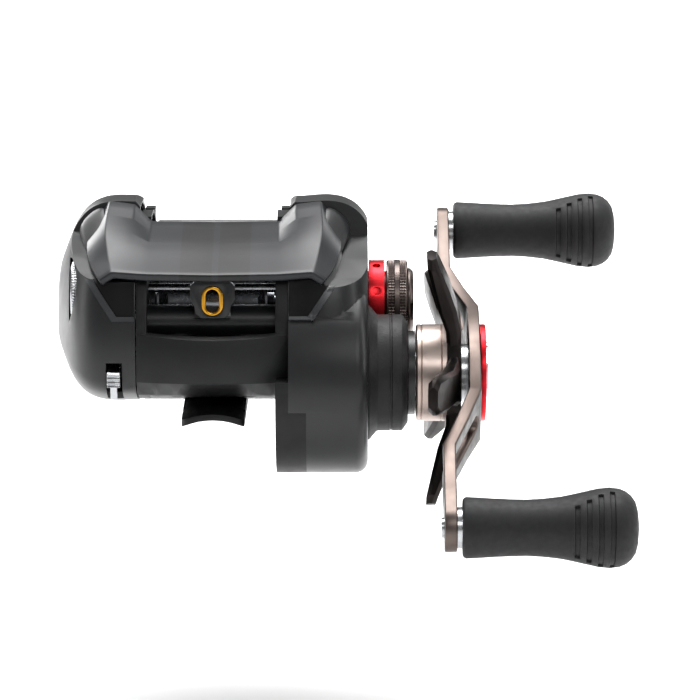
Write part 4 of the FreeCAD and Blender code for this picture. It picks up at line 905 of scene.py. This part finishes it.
@dataclass
class Inside(SubAssembly):
    """Spool, gear train, clutch, brakes and bearings, which keep their CAD shapes."""

    def build(self) -> None:
        """Dresses every inner piece."""
        steel = ("yoke_posts", "yoke_springs", "pinion_bearing", "drive_bearing", "spool_bearing_right",
                 "spool_bearing_left", "one_way_clutch", "worm", "spool_shaft", "cross_pin", "clutch_cam",
                 "drive_shaft", "ratchet", "pressure_plate", "clutch_sleeve", "drag_springs",
                 "knob_bearings_a", "knob_bearings_b", "magnets")
        brass = ("worm_gear", "pinion", "drive_gear", "drag_nut", "level_driver")
        acetal = ("clutch_yoke", "magnet_ring", "tension_pad", "neck_ring")
        self.dress_nodes({name: GROUND_STEEL for name in steel})
        self.dress_nodes({name: BRASS for name in brass})
        self.dress_nodes({name: BLACK_ACETAL for name in acetal})
        self.dress_nodes({"drag_washers": CARBON, "brake_rotor": SPOOL_ALUMINIUM, "spool": SPOOL_ALUMINIUM})


@dataclass
class DriveSide(SubAssembly):
    """Clutch housing, drag star and its hub.

    Args:
        groove: width of the lines turned into the hub, which are half as deep.
        hub_bore: radius of the hub's bore.
        bore: radius of the housing's inner wall.
        mouth: radius of the housing's mouth.
        flange: how far the housing's flange stands out from its wall.
    """

    groove: float = 0.35
    hub_bore: float = 5.6
    bore: float = 8.5
    mouth: float = 5.6
    flange: float = 1.8

    def build(self) -> None:
        """Turns the housing and the hub, and rounds the star."""
        self.housing()
        self.hub()
        self.rounded_copy("drag_star", STAR_ANODISE, 0.45, 24.0)

    def housing(self) -> None:
        """Turns the nylon housing with its cone, two steps and chamfered mouth."""
        start, end, widest, _ = self.extent("clutch_housing")
        face = start + 2.4
        radius = widest - self.flange
        seat = [(start, self.bore), (start, 9.9), (face, 9.9)]
        cone = [(face, radius + 1.75), (face + 0.25, radius + self.flange), (face + 1.7, radius + 0.1),
                (face + 2.0, radius)]
        step = [(end - 3.6, radius), (end - 3.45, radius - 0.15), (end - 3.2, radius - 0.15),
                (end - 3.05, radius)]
        chamfer = [(end - 1.3, radius), (end - 1.05, radius - 0.12), (end - 0.12, radius - 1.45),
                   (end, radius - 1.65)]
        inside = [(end, self.mouth + 0.15), (end - 0.15, self.mouth), (end - 1.5, self.mouth),
                  (end - 1.5, self.bore), (start, self.bore)]
        piece = Bench.lathe("clutch_housing_shell", seat + cone + step + chamfer + inside, DRIVE_AXIS)
        Bench.soften(piece, 0.0)
        self.place(piece, "clutch_housing", TEXTURED_NYLON)

    def hub(self) -> None:
        """Turns the star's hub with fine lines at both ends."""
        start, end, radius, _ = self.extent("star_hub")
        cut = self.groove / 2.0
        near, far = start + 0.9, end - 1.2
        piece = Bench.lathe("star_hub_shell", [
            (start, self.hub_bore), (start, radius - 0.35), (start + 0.3, radius), (near, radius),
            (near + cut, radius - cut), (near + 2 * cut, radius), (far, radius), (far + cut, radius - cut),
            (far + 2 * cut, radius), (end, radius), (end, self.hub_bore), (start, self.hub_bore)], DRIVE_AXIS)
        Bench.soften(piece, 0.0)
        self.place(piece, "star_hub", CHAMPAGNE)


@dataclass
class Controls(SubAssembly):
    """Tension knob, its ring and cap, brake dial and lock lever.

    Args:
        knurl: height of the knurl's points.
        knurl_sides: knurl points round the tension knob.
        cells: knurl points along each of its bands.
        margin: plain width at both ends of the knob.
        rib_half: half width of the plain rib between the bands.
        bore: radius of the tension knob's bore.
        dial_knurl: height of the knurl's points on the brake dial.
        dial_sides: knurl points round the dial.
        dial_width: width of the dial's rim.
        dial_stub: radius of the dial's stub.
    """

    knurl: float = 0.16
    knurl_sides: int = 84
    cells: int = 4
    margin: float = 0.35
    rib_half: float = 0.55
    bore: float = 6.25
    dial_knurl: float = 0.12
    dial_sides: int = 72
    dial_width: float = 2.2
    dial_stub: float = 2.0

    def build(self) -> None:
        """Models the knurled knob and dial, and rounds the rest."""
        self.tension_knob()
        self.rounded_copy("red_ring", RED_ANODISED, 0.2, 30.0)
        self.rounded_copy("tension_cap", GUNMETAL, 0.15, 30.0)
        self.dial()
        self.rounded_copy("lock_lever", BRIGHT_STEEL, 0.12, 30.0)

    def tension_knob(self) -> None:
        """Turns the tension knob, with a plain rib between two knurled bands."""
        start, end, widest, _ = self.extent("tension_knob")
        radius = widest - self.knurl
        rib = (start + end) / 2.0
        spans = ((start + self.margin, rib - self.rib_half), (rib + self.rib_half, end - self.margin))
        bands = []
        for a, b in spans:
            bands += [(a + (b - a) * i / self.cells, radius) for i in range(self.cells + 1)]
            if b < rib:
                bands += [(b + 0.1, radius + self.knurl), (rib + 0.45, radius + self.knurl)]
        profile = [(start, self.bore), (start, radius - 0.1), (start + 0.1, radius)] + bands + [
            (end - 0.25, radius), (end, radius - 0.35), (end, self.bore), (start, self.bore)]
        piece = Bench.lathe("tension_knob_shell", profile, SPOOL_AXIS, self.knurl_sides)
        self.raise_knurl(piece, SPOOL_AXIS, radius * 0.98, spans, self.knurl)
        self.place(piece, "tension_knob", GUNMETAL)

    def raise_knurl(self, piece: bpy.types.Object, axis: tuple[float, float], reach: float,
                    spans: tuple, height: float) -> None:
        """Raises a point on each face of a round piece's knurled bands.

        Args:
            piece: the piece.
            axis: (y, z) of its axis.
            reach: faces nearer to the axis than this are left flat.
            spans: (start, end) along X of each band.
            height: height of the points.
        """
        Bench.only(piece)
        bpy.ops.object.mode_set(mode="EDIT")
        Bench.pick(piece, lambda middle, normal: math.hypot(middle.y - axis[0], middle.z - axis[1]) > reach
                   and any(a < middle.x < b for a, b in spans))
        bpy.ops.mesh.poke(offset=height * MM)
        bpy.ops.object.mode_set(mode="OBJECT")
        bpy.ops.object.shade_flat()

    def dial(self) -> None:
        """Turns the brake dial with a finely knurled rim."""
        start, stub_end, widest, centre = self.extent("brake_dial")
        end = start + self.dial_width
        radius = widest - self.dial_knurl
        piece = Bench.lathe("brake_dial_shell", [
            (start, POLE), (start, radius - 0.3), (start + 0.2, radius), (start + 0.9, radius),
            (start + 1.5, radius), (end - 0.2, radius), (end, radius - 0.3), (end, self.dial_stub),
            (stub_end, self.dial_stub), (stub_end, POLE)], centre, self.dial_sides)
        self.raise_knurl(piece, centre, radius * 0.985, ((start + 0.2, end - 0.2),), self.dial_knurl)
        self.place(piece, "brake_dial", BRIGHT_STEEL)


@dataclass
class Crank(SubAssembly):
    """Handle plate, its fasteners and the two grips.

    Args:
        profile: (x from the grip's inner end, radius) of a grip.
        grooves: x, from the grip's inner end, and half angle in degrees of each groove.
        groove_width: width of a groove.
        groove_depth: depth of a groove.
        sides: faces round a grip.
        bore: radius of a grip's bore.
        cap: thickness of its closed end.
        edge: rounding of the grooves' edges.
    """

    profile: tuple = ((0.0, 5.2), (0.25, 5.6), (0.7, 5.8), (3.0, 5.68), (6.0, 5.5), (9.0, 5.36), (12.0, 5.3),
                      (15.0, 5.46), (18.4, 5.85), (20.4, 6.25), (25.4, 7.38), (27.6, 7.58), (29.4, 7.35),
                      (30.6, 6.85), (31.6, 6.05), (32.4, 4.9), (32.8, 3.4), (33.0, 1.6))
    grooves: tuple = ((21.3, 52.0), (23.5, 60.0), (25.7, 68.0), (27.9, 76.0))
    groove_width: float = 0.95
    groove_depth: float = 0.5
    sides: int = 120
    bore: float = 3.3
    cap: float = 1.2
    edge: float = 0.16

    def build(self) -> None:
        """Models the grips and rounds the metal parts."""
        self.grip("knob_a")
        self.grip("knob_b")
        plate = self.rounded_copy("handle", HANDLE_ANODISE, 0.3, 30.0)
        self.darken_faces(plate)
        self.rounded_copy("retainer_plate", RED_ANODISED, 0.2, 30.0)
        self.rounded_copy("handle_nut", BRIGHT_STEEL, 0.25, 24.0)
        self.rounded_copy("retainer_screw", BRIGHT_STEEL, 0.1, 30.0)
        self.dress_nodes({"handle_washer": BRIGHT_STEEL, "knob_spindles": BRIGHT_STEEL,
                          "knob_washers": BRIGHT_STEEL})

    def darken_faces(self, plate: bpy.types.Object) -> None:
        """Gives the handle's broad faces the darker anodising.

        Args:
            plate: the handle's copy.
        """
        plate.data.materials.append(STAR_ANODISE.material())
        for face in plate.data.polygons:
            if abs(face.normal.x) > 0.8:
                face.material_index = 1

    def grip_profile(self, start: float) -> Profile:
        """Joins the grip's outline with the edges of its grooves.

        Args:
            start: x of the grip's inner end.

        Returns:
            (x, radius) points of the outline, with a closed inner bore.
        """
        points = list(self.profile)
        half = self.groove_width / 2.0
        for x, _ in self.grooves:
            for edge in (x - half, x + half):
                after = next(i for i, point in enumerate(points) if point[0] > edge)
                (x0, r0), (x1, r1) = points[after - 1], points[after]
                points.insert(after, (edge, r0 + (r1 - r0) * (edge - x0) / (x1 - x0)))
        outline = [(start + x, radius) for x, radius in points]
        end = outline[-1][0]
        inside = [(end, POLE), (end - self.cap, POLE), (end - self.cap, self.bore), (start, self.bore)]
        return [(start, self.bore)] + outline + inside

    def grip(self, node: str) -> None:
        """Turns one rubber grip and cuts its grooves.

        Args:
            node: CAD node of the grip.
        """
        start, _, _, centre = self.extent(node)
        piece = Bench.lathe(node + "_grip", self.grip_profile(start), centre, self.sides)
        Bench.only(piece)
        bpy.ops.object.mode_set(mode="EDIT")
        for x, reach in self.grooves:
            Bench.pick(piece, lambda middle, normal, x=x, reach=reach: self.in_groove(
                middle, centre, start + x, reach))
            bpy.ops.mesh.extrude_region_shrink_fatten(
                TRANSFORM_OT_shrink_fatten={"value": -self.groove_depth * MM})
        bpy.ops.object.mode_set(mode="OBJECT")
        Bench.soften(piece, self.edge, 50.0, 2)
        self.place(piece, node, GRIP_RUBBER)

    def in_groove(self, middle: Vector, centre: tuple[float, float], x: float, reach: float) -> bool:
        """Tells whether a face lies in the groove at x, on the front or the back of the grip.

        Args:
            middle: the face's middle.
            centre: (y, z) of the grip's axis.
            x: middle of the groove.
            reach: half angle of the groove in degrees.

        Returns:
            True if it does.
        """
        away_y, away_z = middle.y - centre[0], middle.z - centre[1]
        if math.hypot(away_y, away_z) < 5.0:
            return False
        angle = math.degrees(math.atan2(abs(away_z), abs(away_y)))
        return abs(middle.x - x) < self.groove_width / 2.0 and angle < reach


# ---------------------------------------------------------------- studio
@dataclass
class Studio:
    """Camera, soft lights and the pale floor.

    Args:
        aim: point in the middle of the view, in metres.
        distance: from the camera to that point, in metres.
        pitch: how far the camera looks down, in degrees.
        lens: focal length in millimetres on a 36 mm sensor.
        floor_drop: height of the floor, in metres.
        floor_size: width of the floor, in metres.
        surround: strength of the white surround.
        softboxes: name, place, size in metres and power in watts of each soft light.
        wash_place: where the floor's own light hangs, in metres.
        wash_size: its width, in metres.
        wash_power: its power in watts.
        wash_spread: angle of its grid, in degrees.
    """

    aim: Point = (0.0265, -0.01555, 0.01155)
    distance: float = 0.784
    pitch: float = 9.0
    lens: float = 205.6
    floor_drop: float = -0.06
    floor_size: float = 12.0
    surround: float = 0.25
    softboxes: tuple = (
        ("back_box", (0.02, 0.62, 0.72), (1.2, 0.8), 0.35),
        ("left_strip", (-0.70, 0.02, 0.30), (0.25, 0.8), 1.6),
        ("right_strip", (0.78, -0.05, 0.34), (0.25, 0.8), 1.6),
        ("top_box", (0.02, -0.05, 0.70), (0.7, 0.25), 1.4),
        ("left_back_strip", (-0.46, 0.74, 0.38), (0.25, 0.5), 3.2),
        ("right_back_strip", (0.52, 0.74, 0.38), (0.25, 0.5), 1.1),
        ("front_box", (0.30, -0.90, 0.62), (0.6, 0.3), 2.2),
    )
    wash_place: Point = (0.0, 1.45, 1.5)
    wash_size: float = 2.6
    wash_power: float = 62.0
    wash_spread: float = 78.0

    def build(self) -> None:
        """Sets up the whole studio."""
        self.add_camera()
        self.add_world()
        self.add_floor()
        bpy.context.scene.view_settings.view_transform = "Standard"
        for name, place, size, power in self.softboxes:
            self.add_softbox(name, place, size, power)
        self.add_floor_wash()

    def add_camera(self) -> None:
        """Adds the camera and makes it the scene's."""
        pitch = math.radians(self.pitch)
        data = bpy.data.cameras.new("view")
        data.lens = self.lens
        data.sensor_width = 36.0
        data.clip_start = 0.01
        camera = bpy.data.objects.new("view", data)
        camera.location = Vector(self.aim) + self.distance * Vector((0.0, -math.cos(pitch), math.sin(pitch)))
        camera.rotation_euler = (math.radians(90.0) - pitch, 0.0, 0.0)
        bpy.context.scene.collection.objects.link(camera)
        bpy.context.scene.camera = camera

    def add_world(self) -> None:
        """Adds a plain white surround."""
        world = bpy.data.worlds.new("surround")
        world.use_nodes = True
        background = world.node_tree.nodes["Background"]
        background.inputs["Color"].default_value = (1.0, 1.0, 1.0, 1.0)
        background.inputs["Strength"].default_value = self.surround
        bpy.context.scene.world = world

    def add_floor(self) -> None:
        """Adds the pale floor."""
        bpy.ops.mesh.primitive_plane_add(size=self.floor_size, location=(0.0, 0.0, self.floor_drop))
        floor = bpy.context.object
        floor.name = "studio_floor"
        paper = Finish("white_paper", "f4f4f4", "f1f1f1", roughness=0.9, ior=1.4, grain=2.0, relief=0.01,
                       drift=300.0, gloss_change=0.02)
        Bench.dress(floor, paper)

    def add_floor_wash(self) -> None:
        """Adds the gridded light that whitens the floor behind the reel."""
        data = bpy.data.lights.new("floor_wash", "AREA")
        data.shape = "SQUARE"
        data.size = self.wash_size
        data.energy = self.wash_power
        data.spread = math.radians(self.wash_spread)
        light = bpy.data.objects.new("floor_wash", data)
        light.location = self.wash_place
        bpy.context.scene.collection.objects.link(light)

    def add_softbox(self, name: str, place: Point, size: tuple[float, float], power: float) -> None:
        """Adds one large soft light that faces the reel.

        Args:
            name: name of the light.
            place: where it hangs, in metres.
            size: its width and height, in metres.
            power: its power in watts.
        """
        data = bpy.data.lights.new(name, "AREA")
        data.shape = "RECTANGLE"
        data.size, data.size_y = size
        data.energy = power
        light = bpy.data.objects.new(name, data)
        light.location = place
        light.rotation_euler = (Vector(self.aim) - Vector(place)).to_track_quat("-Z", "Y").to_euler()
        bpy.context.scene.collection.objects.link(light)


def main() -> None:
    """Builds every sub-assembly in order."""
    logging.basicConfig(level=logging.INFO, format="%(name)s: %(message)s")
    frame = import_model()
    for kind in (Hood, Covers, LevelWind, Inside, DriveSide, Controls, Crank):
        kind(frame).build()
        LOG.info("built %s", kind.__name__)
    Studio().build()


if __name__ == "__main__":
    main()
